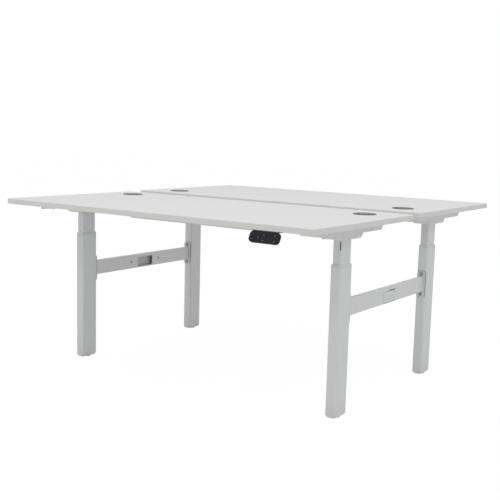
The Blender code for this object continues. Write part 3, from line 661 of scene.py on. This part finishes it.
# %% Collars
SHOULDER_STEPS = 8
SEAM, LIP, SKIRT, SKIRT_INSET = 0.0010, 0.0006, 0.030, 0.0022
SLIDE_GAP = Vector((0.0009, 0.0009, 0.0))
low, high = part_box("front_left_outer_tube")
inner_low, inner_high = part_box("front_left_inner_tube")
centre, size = (low + high) / 2, high - low
reach = (size - (inner_high - inner_low)) / 2 - SLIDE_GAP
base_z, top_z = high.z + SEAM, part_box("front_left_collar")[1].z
clear_selection()
bpy.ops.mesh.primitive_plane_add(size=1.0, location=(centre.x, centre.y, base_z))
bpy.context.object.scale = (size.x, size.y, 1.0)
collar = settled("front_left_collar_ring")
bpy.ops.object.mode_set(mode="EDIT")
bpy.ops.mesh.select_all(action="SELECT")
bpy.ops.mesh.bevel(offset=TUBE_RADIUS, segments=8, affect="VERTICES")
for step in range(SHOULDER_STEPS):
    start, end = (math.pi / 2 * (step + part) / SHOULDER_STEPS for part in (0, 1))
    inwards = reach.x * (math.cos(start) - math.cos(end))
    bpy.ops.mesh.inset(thickness=inwards, depth=(top_z - base_z) * (math.sin(end) - math.sin(start)))
    deep_before, deep_after = (size.y - 2 * reach.y * (1 - math.cos(angle)) for angle in (start, end))
    bpy.ops.transform.resize(value=(1.0, deep_after / (deep_before - 2 * inwards), 1.0))
bpy.ops.mesh.inset(thickness=LIP)
extrude((0.0, 0.0, -SKIRT))
bpy.ops.mesh.delete(type="FACE")
pick_edges(collar, lambda middle, direction: abs(middle.z - base_z) < HAIR)
bpy.ops.mesh.extrude_edges_move()
bpy.ops.transform.resize(value=(1 - 2 * SKIRT_INSET / size.x, 1 - 2 * SKIRT_INSET / size.y, 1.0))
bpy.ops.mesh.extrude_edges_move(TRANSFORM_OT_translate={"value": (0.0, 0.0, top_z - base_z - SKIRT)})
open_shape(collar, "EDGE")
bpy.ops.mesh.select_non_manifold()
bpy.ops.mesh.bridge_edge_loops()
bpy.ops.mesh.select_all(action="SELECT")
bpy.ops.mesh.normals_make_consistent(inside=False)
close_shape()
even_shading(collar)
fit_corners(collar, silver, "base", "silver_coat", "collar", nodes=["collar"])
print("collars rise", round((top_z - base_z) * 1000, 1), "mm above the tubes")

# %% [markdown]
# The inner tubes carry the tops. They are hollow rounded blocks. The right-hand column of each desk has
# a short slot near its top, through which the motor's coupling can be reached. The slot's foot is wider,
# and a dark steel strip behind it paints the shade inside the slot.

# %% Inner tubes
low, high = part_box("front_right_inner_tube")
inner = rounded_block("front_right_inner_column", low, high, 0.005, 6, Z)
hollow_out(inner, TUBE_WALL, Z)
even_shading(inner)
plain = copy_of(inner, "front_left_inner_column", from_to("front_right_inner_tube", "front_left_inner_tube"))
slot_spot = Vector((high.x - 0.0055, low.y, high.z))
slot = rounded_block("slot", (-0.0025, -0.004, -0.040), (0.0025, 0.004, -0.007), 0.0012, 3, Y, slot_spot)
cut_out(inner, slot, drum("slot_foot", slot_spot - Vector((0.0, 0.0, 0.0380)), 0.0036, 0.008, 24, Y))
# Painted shade: a dark strip just inside the slot stands in for the shade within the tube.
slot_shade_strip = rounded_block("front_right_slot_strip", (-0.0060, 0.0024, -0.046), (0.0020, 0.0034, -0.003),
                      0.0015, 3, Y, slot_spot)
even_shading(inner, slot_shade_strip)
for piece, source, target in ((inner, "front_right", "rear_left"), (plain, "front_left", "rear_right")):
    fit(piece, silver, "front_desk", "silver_coat", f"{source}_inner_tube")
    place = from_to(f"{source}_inner_tube", f"{target}_inner_tube", True)
    twin = copy_of(piece, f"{target}_inner_column", place)
    fit(twin, silver, "rear_desk", "silver_coat", f"{target}_inner_tube")
to_rear_slot = from_to("front_right_inner_tube", "rear_left_inner_tube", True)
fit_pair(slot_shade_strip, slot_shade_steel, "bright_steel", [], to_rear_slot, ("front_right", "rear_left"))
print("inner tubes", round(high.z - low.z, 3), "m long, two of them slotted")

# %% [markdown]
# A low beam joins the two columns at each end of the desk. On the real frame it is a hollow bar with a
# flange welded to each end. Bar and flanges are joined with a Boolean, and the inner corner between
# them is bevelled: on a hollow corner a bevel adds material, which is just what a weld bead does. The
# front flange lies on a thin coated packing plate and the rear one on a black rubber plate a little larger
# than the flange, which takes up the small error of length and paints the shadow in the gap as a dark line.
# Bare steel, set darker than the coat as painted shade, is seen inside, through the window.

# %% Beams
PACKING, FLANGE_FACE, FLANGE_RADIUS = 0.001, 0.005, 0.006
SHADOW_GASKET_EDGE = 0.0012
BEAM_SCREW_PLACE = 0.103
low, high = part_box("right_beam")
centre = (low + high) / 2
bar_half = Vector((0.010, (high.y - low.y) / 2 - FLANGE_FACE, 0.035))
bar_low, bar_high = centre - bar_half, centre + bar_half
TO_LEFT_BEAM = from_to("right_beam", "left_beam", True)


def fit_ends(piece, finish, slot, nodes=(), place=TO_LEFT_BEAM):
    """Fit a piece at the right end of the base and its twin at the left end."""
    fit_pair(piece, finish, slot, nodes, place, ("right", "left"), ("base", "base"))


def at_the_weld(middle, direction):
    """Inner corners where the bar meets its flanges."""
    on_flange = min(abs(middle.y - low.y - FLANGE_FACE), abs(middle.y - high.y + FLANGE_FACE)) < HAIR
    offset = middle - centre
    return on_flange and abs(offset.x) < bar_half.x + 0.0002 and abs(offset.z) < bar_half.z + 0.0002


beam = rounded_block("right_end_beam", bar_low, bar_high, 0.003, 4, Y)
flanges = []
for start in (low.y + PACKING, high.y - FLANGE_FACE):
    end = start + FLANGE_FACE - PACKING
    flange = rounded_block("flange", (low.x, start, low.z), (high.x, end, high.z), FLANGE_RADIUS, 5, Y)
    round_edges(flange, 0.0006, 2, lambda middle, direction: abs(direction.y) < 0.1)
    flanges.append(flange)
combine(beam, "UNION", flanges)
round_edges(beam, 0.0022, 3, at_the_weld)
bar_wall = Vector((0.0025, 0.02, 0.0025))
cavity = rounded_block("cavity", bar_low + bar_wall, bar_high - bar_wall, 0.0015, 2, Y)
window_spot = Vector((bar_low.x, centre.y, centre.z - 0.005))
window_half = Vector((0.006, 0.055, 0.024))
cut_out(beam, cavity, rounded_block("window", -window_half, window_half, 0.005, 5, X, window_spot))
for along in (-BEAM_SCREW_PLACE, BEAM_SCREW_PLACE):
    cut_out(beam, drum("screw_hole", (bar_low.x, centre.y + along, centre.z), 0.0035, 0.012, 24, X))
even_shading(beam)
fit_ends(beam, silver, "silver_coat", ["beam"])
print("beams:", len(beam.data.polygons), "faces each")

# %% Plates in and under the beams
face_middle = Vector((bar_high.x, centre.y, centre.z))
# Bare steel plate on the bar's far inner wall, darker than the coat: partly the steel's own tone, partly
# painted shade seen through the window.
inside = rounded_block("right_beam_inside", (-0.0035, -0.110, -0.032), (-0.0027, 0.110, 0.032),
                       0.001, 2, X, face_middle)
packing = rounded_block("right_beam_packing", low, (high.x, low.y + PACKING, high.z), FLANGE_RADIUS, 5, Y)
# Painted shadow: the black plate behind the rear flange is a little larger than it and shows as the dark line
# of the gap's shade.
shadow_gasket_low = (low.x - SHADOW_GASKET_EDGE, high.y - PACKING, low.z - SHADOW_GASKET_EDGE)
shadow_gasket_high = high + Vector((SHADOW_GASKET_EDGE, 0.0, SHADOW_GASKET_EDGE))
shadow_gasket = rounded_block("right_beam_gasket", shadow_gasket_low, shadow_gasket_high, FLANGE_RADIUS + SHADOW_GASKET_EDGE, 5, Y)
even_shading(inside, packing, shadow_gasket)
unturned = from_to("right_beam", "left_beam")
fit_ends(inside, bare_steel_and_shade, "bright_steel")
fit_ends(packing, silver, "silver_coat", place=unturned)
fit_ends(shadow_gasket, shadow_line_rubber, "black_plastic", place=unturned)
print("an inside plate, a packing plate and a gasket for each beam")

# %% [markdown]
# On the outside of each beam a thin cover closes an access hole. It is a flat plate with an opening, and
# a flap in the opening with a finger slit above it. A black strip fills the seam round the flap and the
# bed of the slit: painted shade, which shows as a thin dark line.

# %% Beam covers
def on_face(name, low, high, radius):
    """Rounded plate on the outer face of the right beam, measured from the face's middle."""
    return rounded_block(name, low, high, radius, 4, X, face_middle)


cover = on_face("right_beam_cover", (0.0, -0.0500, -0.0345), (0.0012, 0.0690, 0.0245), 0.003)
round_edges(cover, 0.0005, 2, beyond(X, bar_high.x + 0.0011))
cut_out(cover, on_face("opening", (-0.001, -0.0458, -0.0322), (0.010, 0.0558, 0.0173), 0.003),
        on_face("slit", (-0.001, 0.0010, 0.0172), (0.010, 0.0630, 0.0206), 0.001))
flap = on_face("right_beam_flap", (0.0010, -0.0450, -0.0310), (0.0016, 0.0534, 0.0165), 0.0025)
round_edges(flap, 0.0002, 1, beyond(X, bar_high.x + 0.00155))
# Painted shade: a black strip fills the seam round the flap and the bed of the finger slit.
seam_shade = on_face("right_beam_seal", (0.0001, -0.0457, -0.0321), (0.0010, 0.0557, 0.0172), 0.003)
combine(seam_shade, "UNION", [on_face("slit_bed", (0.0001, 0.0011, 0.0160), (0.0004, 0.0629, 0.0205), 0.001)])
even_shading(cover, flap, seam_shade)
for piece, finish in ((cover, silver), (flap, silver), (seam_shade, shadow_black)):
    fit_ends(piece, finish, "silver_coat")
print("two covers, each a plate, a flap and a seal")

# %% [markdown]
# Two hexagon bolts with washers hold every flange to its column, one above the beam and one below. A
# bolt is a six-sided cylinder whose upper corners are chamfered, on a washer with soft edges.

# %% Flange bolts
WASHER, HEAD = 0.0016, 0.0056
BOLT_HEIGHT = 0.0475
bolt = drum("bolt", (0.0, 0.0, WASHER / 2), 0.0085, WASHER, 40)
round_edges(bolt, 0.0004, 2, beyond(Z, WASHER - 0.0001))
head = drum("bolt_head", (0.0, 0.0, WASHER - 0.0001 + HEAD / 2), 0.0075, HEAD, 6)
round_edges(head, 0.0008, 2, beyond(Z, WASHER + HEAD - 0.0002))
combine(bolt, "UNION", [head])
even_shading(bolt)
for side in ("right", "left"):
    low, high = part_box(f"{side}_beam")
    centre = (low + high) / 2
    for end, face_y, inward in (("front", low.y + FLANGE_FACE, 1), ("rear", high.y - FLANGE_FACE, -1)):
        turn = Matrix.Rotation(-inward * math.pi / 2, 4, "X")
        for word, height in (("above", BOLT_HEIGHT), ("below", -BOLT_HEIGHT)):
            place = Matrix.Translation((centre.x, face_y, centre.z + height)) @ turn
            name = f"{side}_{end}_flange_bolt_{word}"
            fit(copy_of(bolt, name, place), bolt_steel, "base", "bright_steel")
bpy.data.objects.remove(bolt)
print("eight flange bolts")

# %% [markdown]
# Under each end of a top lies a folded steel channel with slanted end flaps. It is a block that loses
# its underside; its lower corners are drawn in, the two folds are rounded, and Solidify gives the sheet
# its thickness. The flange towards the middle of the desk is then cut back to the part beside the motor.
# The end flaps stop short of the outer flange's edge, the user's end more than the other, so each copy
# is trimmed at its own ends. Four pan-head screws go up through the channel into the board.

# %% Side brackets
SHEET = 0.0025
INNER_FLANGE_HALF = 0.150
FLAP_TRIMS = {"front": (0.0060, 0.0015), "rear": (0.0015, 0.0060)}


def draw_in_ends(piece, low, high, distance):
    """Draw the lower edge of both ends inwards, so that the ends slant."""
    for end, inward in ((low.y, 1), (high.y, -1)):
        pick_edges(piece, lambda middle, direction: middle.z < low.z + HAIR and abs(middle.y - end) < HAIR)
        bpy.ops.transform.translate(value=(0.0, inward * distance, 0.0))
        close_shape()


def remove_faces(piece, test):
    """Take the chosen faces away."""
    pick_faces(piece, test)
    bpy.ops.mesh.delete(type="FACE")
    close_shape()


def thicken(piece, wall):
    """Give an open sheet its thickness, inwards."""
    sheet = piece.modifiers.new("sheet", "SOLIDIFY")
    sheet.thickness = wall
    sheet.offset = -1.0
    activate(piece)
    bpy.ops.object.modifier_apply(modifier="sheet")


low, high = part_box("front_left_side_bracket")
centre = (low + high) / 2
bracket = block("front_left_channel", low, high)
draw_in_ends(bracket, low, high, 0.024)
remove_faces(bracket, lambda middle, normal: normal.z < -0.9)
round_edges(bracket, 0.004, 4, lambda middle, direction: runs(direction, Y) and middle.z > high.z - HAIR)
thicken(bracket, SHEET)
flange_start, flange_end = centre.y - INNER_FLANGE_HALF, centre.y + INNER_FLANGE_HALF
for start, end in ((low.y - 0.01, flange_start), (flange_end, high.y + 0.01)):
    cut_low, cut_high = (high.x - 0.004, start, low.z - 0.01), (high.x + 0.01, end, high.z - 0.0045)
    cut_out(bracket, block("cut_back", cut_low, cut_high))
round_edges(bracket, 0.0005, 1, lambda middle, direction: middle.z < low.z + HAIR and runs(direction, Y))
even_shading(bracket)
channels = fit_corners(bracket, silver, "{desk}_desk", "silver_coat", "side_bracket", "right",
                       ["side_bracket"])
for corner, channel in channels.items():
    desk, side = corner.split("_")
    low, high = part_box(f"{corner}_side_bracket")
    near_x, far_x = (low.x + 0.003, high.x + 0.01) if side == "left" else (low.x - 0.01, high.x - 0.003)
    for end, trim in zip((low.y, high.y), FLAP_TRIMS[desk]):
        trim_low, trim_high = (near_x, end - 0.035, low.z - 0.01), (far_x, end + 0.035, low.z + trim)
        cut_out(channel, block("flap_trim", trim_low, trim_high))
print("brackets:", len(bracket.data.polygons), "faces each")

# %% [markdown]
# The motor housing hangs in the channel over its column. It is a deep tray with slanted ends: a block
# is cut level where the slant begins, the sole's ends are drawn in, the edges are rounded, the top is
# opened and Solidify makes the wall.

# %% Motor housings
SLANT_RISE = 0.020


def cut_level(piece, *heights):
    """Cut the faces of a piece level at some heights and keep all of them."""
    open_shape(piece, "FACE")
    for height in heights:
        bpy.ops.mesh.select_all(action="SELECT")
        bpy.ops.mesh.bisect(plane_co=(0.0, 0.0, height), plane_no=(0.0, 0.0, 1.0))
    close_shape()


low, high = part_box("front_left_motor_housing")
centre = (low + high) / 2


def on_tray_edge(middle, direction):
    """Edges below the mouth, of those across the tray only the sole's."""
    return middle.z < low.z + HAIR if runs(direction, X) else middle.z < high.z - 1e-4


housing = block("front_left_motor_tray", low, high)
cut_level(housing, low.z + SLANT_RISE)
draw_in_ends(housing, low, high, 0.018)
round_edges(housing, 0.003, 3, on_tray_edge)
remove_faces(housing, lambda middle, normal: normal.z > 0.9 and middle.z > high.z - HAIR)
thicken(housing, 0.0022)
cut_out(housing, drum("shaft_hole", (centre.x, centre.y, low.z), 0.0063, 0.02, 32))
even_shading(housing)
fit_corners(housing, silver, "{desk}_desk", "silver_coat", "motor_housing", "rear", ["motor_housing"])
print("housings:", len(housing.data.polygons), "faces each")

# %% [markdown]
# A crossbar keeps the two columns of a desk apart. Its middle sleeve takes the two end rails, and set
# screws in the sleeve's side lock them. Each rail ends in a plate that is screwed to the motor housing.

# %% Crossbars
BAR_WALL, END_PLATE = 0.002, 0.002
sleeve = rounded_block("front_crossbar_middle", *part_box("front_crossbar_sleeve"), 0.003, 4, X)
hollow_out(sleeve, BAR_WALL, X)
low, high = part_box("front_left_crossbar_rail")
rail = rounded_block("front_left_crossbar_end", low, high, 0.0015, 3, X)
hollow_out(rail, BAR_WALL, X)
plate_low = (low.x, low.y - 0.011, low.z - 0.0015)
plate_high = (low.x + END_PLATE, high.y + 0.011, high.z + 0.0015)
end_plate = rounded_block("front_left_rail_plate", plate_low, plate_high, 0.003, 4, X)
round_edges(end_plate, 0.0004, 1, beyond(X, low.x + END_PLATE - 0.0001))
bore_low = low + Vector((-0.01, BAR_WALL, BAR_WALL))
cut_out(end_plate, block("rail_bore", bore_low, (low.x + 0.01, high.y - BAR_WALL, high.z - BAR_WALL)))
even_shading(sleeve, rail, end_plate)
to_rear_sleeve = from_to("front_crossbar_sleeve", "rear_crossbar_sleeve", True)
fit_pair(sleeve, silver, "silver_coat", ["crossbar_sleeve"], to_rear_sleeve)
fit_corners(rail, silver, "{desk}_desk", "silver_coat", "crossbar_rail", "right", ["crossbar_rail"])
fit_corners(end_plate, silver, "{desk}_desk", "silver_coat", "crossbar_rail", "right")
print("crossbars: two sleeves, four rails with end plates")

# %% [markdown]
# Pan-head screws hold the brackets, control boxes and keypads to the boards, the rail plates to the
# housings and the rails in their sleeves. One screw head is turned from its half section, gets a cross
# recess from two thin blocks, and is then copied to every place. Black ones close the beams' holes.

# %% Screws
DOWN = Matrix.Rotation(math.pi, 4, "X")
screw = turned_piece("screw_head", [
    (0.0, 0.0026), (0.0016, 0.0025), (0.0030, 0.0021), (0.0040, 0.0013), (0.0044, 0.0004),
    (0.0044, 0.0), (0.0, 0.0)], (0.0, 0.0, 0.0), 32, False)
cut_out(screw, block("slot_one", (-0.0022, -0.0004, 0.0012), (0.0022, 0.0004, 0.004)),
        block("slot_two", (-0.0004, -0.0022, 0.0012), (0.0004, 0.0022, 0.004)))
even_shading(screw)
screw_names = []


def set_screw(name, place, turn, body, finish=zinc):
    """Copy of the screw head, turned and put on a surface."""
    fit(copy_of(screw, name, Matrix.Translation(place) @ turn), finish, body, "bright_steel")
    screw_names.append(name)


for corner in CORNERS:
    desk, side = corner.split("_")
    low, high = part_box(f"{corner}_side_bracket")
    centre = (low + high) / 2
    for number, along in enumerate((-0.215, -0.115, 0.115, 0.215), 1):
        place = (centre.x, centre.y + along, high.z - SHEET)
        set_screw(f"{corner}_channel_screw_{number}", place, DOWN, f"{desk}_desk")
    low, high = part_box(f"{corner}_crossbar_rail")
    plate_x, inward = (low.x + END_PLATE, 1) if side == "left" else (high.x - END_PLATE, -1)
    turn = Matrix.Rotation(inward * math.pi / 2, 4, "Y")
    for word, across in (("near", low.y - 0.0055), ("far", high.y + 0.0055)):
        place = (plate_x, across, (low.z + high.z) / 2)
        set_screw(f"{corner}_rail_screw_{word}", place, turn, f"{desk}_desk")
for desk in DESKS:
    low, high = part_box(f"{desk}_crossbar_sleeve")
    side_y, outward = (low.y, -1) if desk == "front" else (high.y, 1)
    turn = Matrix.Rotation(-outward * math.pi / 2, 4, "X")
    for word, along in (("left_outer", low.x + 0.03), ("left_inner", low.x + 0.11),
                        ("right_inner", high.x - 0.11), ("right_outer", high.x - 0.03)):
        set_screw(f"{desk}_sleeve_screw_{word}", (along, side_y, (low.z + high.z) / 2), turn, f"{desk}_desk")
for side, inward in (("left", 1), ("right", -1)):
    turn = Matrix.Rotation(inward * math.pi / 2, 4, "Y")
    for word, along in (("front", -BEAM_SCREW_PLACE), ("rear", BEAM_SCREW_PLACE)):
        place = middle_of(f"{side}_beam") + Vector((inward * bar_half.x, along, 0.0))
        set_screw(f"{side}_beam_screw_{word}", place, turn, "base", black_plastic)
print(len(screw_names), "screws on brackets, crossbars and beams")

# %% [markdown]
# The control box under each top is a two-shell plastic case. A groove runs round it where the shells
# meet, cooling slots open its underside, and its end has a mains inlet with three pins and three small
# sockets. Two ears on each long side take the screws.

# %% Control boxes
GROOVE_HALF, GROOVE_DEPTH = 0.0005, 0.0006
VENTS, VENT_STEP = 12, 0.010
low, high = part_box("front_control_box")
centre = (low + high) / 2
panel = Vector((high.x, low.y, centre.z))
sockets = [panel + Vector((0.0, 0.0486 + index * 0.0176, 0.0)) for index in range(3)]
case = block("front_control_case", low, high)
round_edges(case, 0.004, 3, lambda middle, direction: True)
cut_level(case, centre.z - GROOVE_HALF, centre.z + GROOVE_HALF)
pick_faces(case, lambda middle, normal: abs(middle.z - centre.z) < GROOVE_HALF - 0.0001)
bpy.ops.mesh.extrude_region_shrink_fatten(TRANSFORM_OT_shrink_fatten={"value": -GROOVE_DEPTH})
close_shape()
cut_out(case, rounded_block("inlet", (-0.014, 0.010, -0.010), (0.010, 0.038, 0.010), 0.003, 3, X, panel))
for socket in sockets:
    cut_out(case, block("socket", (-0.014, -0.007, -0.005), (0.010, 0.007, 0.005), socket))
for index in range(VENTS):
    vent = (centre.x + (index - (VENTS - 1) / 2) * VENT_STEP, centre.y, low.z)
    cut_out(case, rounded_block("vent", (-0.0018, -0.030, -0.010), (0.0018, 0.030, 0.002),
                                0.0017, 3, Z, vent))
even_shading(case)
fit_pair(case, black_plastic, "black_plastic", ["control_box"])
print("two control boxes with", VENTS, "cooling slots each")

# %% Control box contacts and ears
EAR = Vector((0.022, 0.014, 0.004))
EAR_PLACE = 0.09


def join_pieces(pieces, name):
    """Several small shapes as one piece."""
    clear_selection()
    for piece in pieces:
        piece.select_set(True)
    bpy.context.view_layer.objects.active = pieces[0]
    bpy.ops.object.join()
    bpy.context.object.name = name
    even_shading(bpy.context.object)
    return bpy.context.object


def set_screw_pair(word, spot):
    """Screw under the front desk, and its twin under the rear one."""
    set_screw(f"front_{word}", spot, DOWN, "front_desk")
    set_screw(f"rear_{word}", TO_REAR @ spot, DOWN, "rear_desk")


pins, ears = [], []
for pin_y, pin_z in ((0.017, -0.002), (0.031, -0.002), (0.024, 0.004)):
    spot = panel + Vector((0.0, pin_y, pin_z))
    pins.append(block("pin", (-0.0145, -0.001, -0.002), (-0.003, 0.001, 0.002), spot))
    round_edges(pins[-1], 0.0006, 2, beyond(X, high.x - 0.0031))
for socket in sockets:
    for along in (-0.0036, -0.0012, 0.0012, 0.0036):
        spot = socket + Vector((0.0, along, 0.0))
        pins.append(block("contact", (-0.0145, -0.0005, -0.0045), (-0.006, 0.0005, -0.0025), spot))
        round_edges(pins[-1], 0.0003, 1, beyond(X, high.x - 0.0061))
for side, side_word in ((-1, "outer"), (1, "inner")):
    edge_y = centre.y + side * (high.y - low.y) / 2
    for along, end_word in ((-EAR_PLACE, "left"), (EAR_PLACE, "right")):
        ear_low = Vector((centre.x + along - EAR.x / 2, min(edge_y, edge_y + side * EAR.y), high.z - EAR.z))
        ears.append(rounded_block("ear", ear_low, ear_low + EAR, 0.004, 4, Z))
        round_edges(ears[-1], 0.0006, 2, below(high.z - EAR.z + 0.0001))
        spot = Vector((centre.x + along, edge_y + side * 0.0075, high.z - EAR.z))
        set_screw_pair(f"control_screw_{side_word}_{end_word}", spot)
fit_pair(join_pieces(pins, "front_control_contacts"), contact_brass, "bright_steel")
fit_pair(join_pieces(ears, "front_control_ears"), black_plastic, "black_plastic")
print(len(pins), "contacts and", len(ears), "ears on each control box")

# %% [markdown]
# The keypad sits under the outer edge of each top on a small plate, with its face tilted up to the
# person. The case is modelled flat about its own middle and turned into place at the end, because a
# tilted shape is easier to bevel and cut while it lies flat. Small raised pads are the memory keys.

# %% Keypad case
low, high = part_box("front_keypad")
keypad_x = (low.x + high.x) / 2
rocker_spot = Vector((middle_of("front_up_down_key").x - keypad_x, 0.0, 0.0))
HALF_WIDE, HALF_TALL, THICK = (high.x - low.x) / 2, 0.0217, 0.013
FACE = Matrix.Translation((keypad_x, -0.83714, 0.74275)) @ Matrix.Rotation(math.radians(63.0), 4, "X")
case = rounded_block("front_keypad_case", (-HALF_WIDE, -HALF_TALL, -THICK), (HALF_WIDE, HALF_TALL, 0.0),
                     0.0145, 10, Z)
round_edges(case, 0.0022, 4, beyond(Z, -HAIR))
round_edges(case, 0.0015, 2, below(-THICK + HAIR))
pocket = rounded_block("rocker_pocket", (-0.0081, -0.0156, -0.005), (0.0081, 0.0156, 0.010),
                       0.0046, 5, Z, rocker_spot)
display_bed = rounded_block("display_bed", (0.0105, -0.0110, -0.0012), (0.0335, 0.0050, 0.010), 0.0015, 3, Z)
cut_out(case, pocket, display_bed)
display = rounded_block("front_keypad_display", (0.0107, -0.0108, -0.0011), (0.0333, 0.0048, -0.0002),
                        0.0014, 3, Z)
round_edges(display, 0.0002, 1, beyond(Z, -0.00021))
even_shading(case, display)
print("keypad case:", len(case.data.polygons), "faces")

# %% Keypad keys and marks
KEYS = [Vector((along, across, 0.0)) for along in (-0.0008, 0.0462) for across in (0.0068, -0.0138)]
BAR_HALVES, BAR_STEP = (0.0012, 0.0008, 0.0006), 0.0022
pads, marks = [], []
for key in KEYS:
    pads.append(rounded_block("pad", (-0.0065, -0.0046, -0.0004), (0.0065, 0.0046, 0.0005), 0.004, 5, Z, key))
    round_edges(pads[-1], 0.0004, 2, beyond(Z, 0.0004))
for number, half in enumerate(BAR_HALVES):
    for step in range(number + 1):
        spot = KEYS[number] + Vector(((step - number / 2) * BAR_STEP, 0.0, 0.0))
        marks.append(rounded_block("bar", (-half, -0.0020, 0.0), (half, 0.0020, 0.0006), 0.0004, 2, Z, spot))
ring = [(0.0022, 0.0), (0.0032, 0.0), (0.0032, 0.0006), (0.0022, 0.0006)]
marks.append(turned_piece("ring", ring, KEYS[-1], 32, True))
lamp = [(0.0, 0.0005), (0.0015, 0.0005), (0.0019, 0.0), (0.0, 0.0)]
marks.append(turned_piece("lamp", lamp, (-0.0235, -0.0040, 0.0), 20, False))
keys = join_pieces(pads, "front_keypad_keys")
key_marks = join_pieces(marks, "front_keypad_marks")
print(len(KEYS), "keys and their plain marks")

# %% Keypad plate, rocker and placing
PLATE = 0.004
KEY_BODIES = ("front_key", "rear_key")
top_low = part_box("front_top")[0]
plate_spot = Vector((keypad_x, top_low.y, top_low.z - 0.0003))
plate = rounded_block("front_keypad_plate", (-0.057, 0.002, -PLATE), (0.057, 0.064, 0.0),
                      0.008, 6, Z, plate_spot)
round_edges(plate, 0.0006, 2, below(plate_spot.z - PLATE + 0.0001))
rocker = rounded_block("front_rocker", (-0.0075, -0.015, -0.0033), (0.0075, 0.015, 0.0012),
                       0.004, 5, Z, rocker_spot)
pick_faces(rocker, lambda middle, normal: normal.z > 0.9)
bpy.ops.mesh.inset(thickness=0.0015, depth=-0.0004)
close_shape()
round_edges(rocker, 0.0005, 2, beyond(Z, 0.0011))
even_shading(plate, rocker)
arrow = drum("arrow", rocker_spot + Vector((0.0, 0.0105, 0.0009)), 0.0024, 0.0004, 3)
round_edges(arrow, 0.0003, 2, lambda middle, direction: runs(direction, Z))
about_rocker = Matrix.Translation(2 * rocker_spot) @ Matrix.Rotation(math.pi, 4, "Z")
rocker_marks = join_pieces([arrow, copy_of(arrow, "other_arrow", about_rocker)], "front_rocker_marks")
for piece in (case, display, keys, key_marks, rocker, rocker_marks):
    activate(piece)
    piece.matrix_world = FACE
    settled(piece.name)
fit_pair(case, satin_black, "black_plastic", ["keypad"])
fit_pair(plate, black_plastic, "black_plastic")
fit_pair(display, display_glass, "black_plastic")
fit_pair(keys, satin_black, "black_plastic")
fit_pair(key_marks, print_grey, "grey_plastic")
fit_pair(rocker, satin_black, "grey_plastic", ["up_down_key"], bodies=KEY_BODIES)
fit_pair(rocker_marks, print_grey, "grey_plastic", bodies=KEY_BODIES)
for word, along in (("left", -0.046), ("right", 0.046)):
    set_screw_pair(f"keypad_screw_{word}", plate_spot + Vector((along, 0.054, -PLATE)))
bpy.data.objects.remove(screw)
print("two keypads placed")

# %% [markdown]
# A levelling foot has a hard pad with a soft edge and a threaded stem that goes up into the toe. The
# thread is a row of fine ridges in the half section, which is enough at this size.

# %% Levelling feet
RIDGE_STEP = 0.0012
low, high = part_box("front_left_levelling_foot")
centre = Vector(((low.x + high.x) / 2, (low.y + high.y) / 2, 0.0))
section = [(0.0, high.z), (0.0036, high.z)]
ridge_z = high.z - 0.0010
while ridge_z > 0.0075:
    section += [(0.0050, ridge_z), (0.0043, ridge_z - RIDGE_STEP / 2)]
    ridge_z -= RIDGE_STEP
section += [(0.0043, 0.0062), (0.0160, 0.0060), (0.0172, 0.0055), (0.0178, 0.0046), (0.0180, 0.0036),
            (0.0180, 0.0012), (0.0176, 0.0003), (0.0170, 0.0), (0.0, 0.0)]
foot = turned_piece("front_left_foot", section, centre, 48, False)
even_shading(foot)
fit_corners(foot, foot_nylon, "{corner}_foot", "black_plastic", "levelling_foot", nodes=["levelling_foot"])
print("feet:", len(foot.data.polygons), "faces each")

# %% [markdown]
# What stays hidden inside the columns keeps its CAD shape and only gets a finish: turned steel for the
# lifting screws and push tubes, and a cast, painted casing for the gear motors.

# %% Hidden drive
turned_steel = speckled("turned_steel", (0.480, 0.480, 0.485), (0.580, 0.580, 0.585),
                        (0.24, 0.36), size=0.0007, strength=0.20, metallic=1.0)
cast_casing = speckled("cast_motor_casing", (0.030, 0.030, 0.033), (0.050, 0.050, 0.054),
                       (0.48, 0.60), size=0.0015, depth=0.0003, strength=0.35, metallic=0.2)
hidden_finishes = {"lifting_screw": turned_steel, "push_tube": turned_steel, "gear_motor": cast_casing}
for corner in CORNERS:
    for word, finish in hidden_finishes.items():
        for material_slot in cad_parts[f"{corner}_{word}"].material_slots:
            material_slot.material = finish
print("hidden drive finished")

# %% [markdown]
# The view transform is Standard, so that a colour comes out as it was written.

# %% View transform and end
bpy.context.scene.view_settings.view_transform = "Standard"
clear_selection()
bpy.context.view_layer.update()
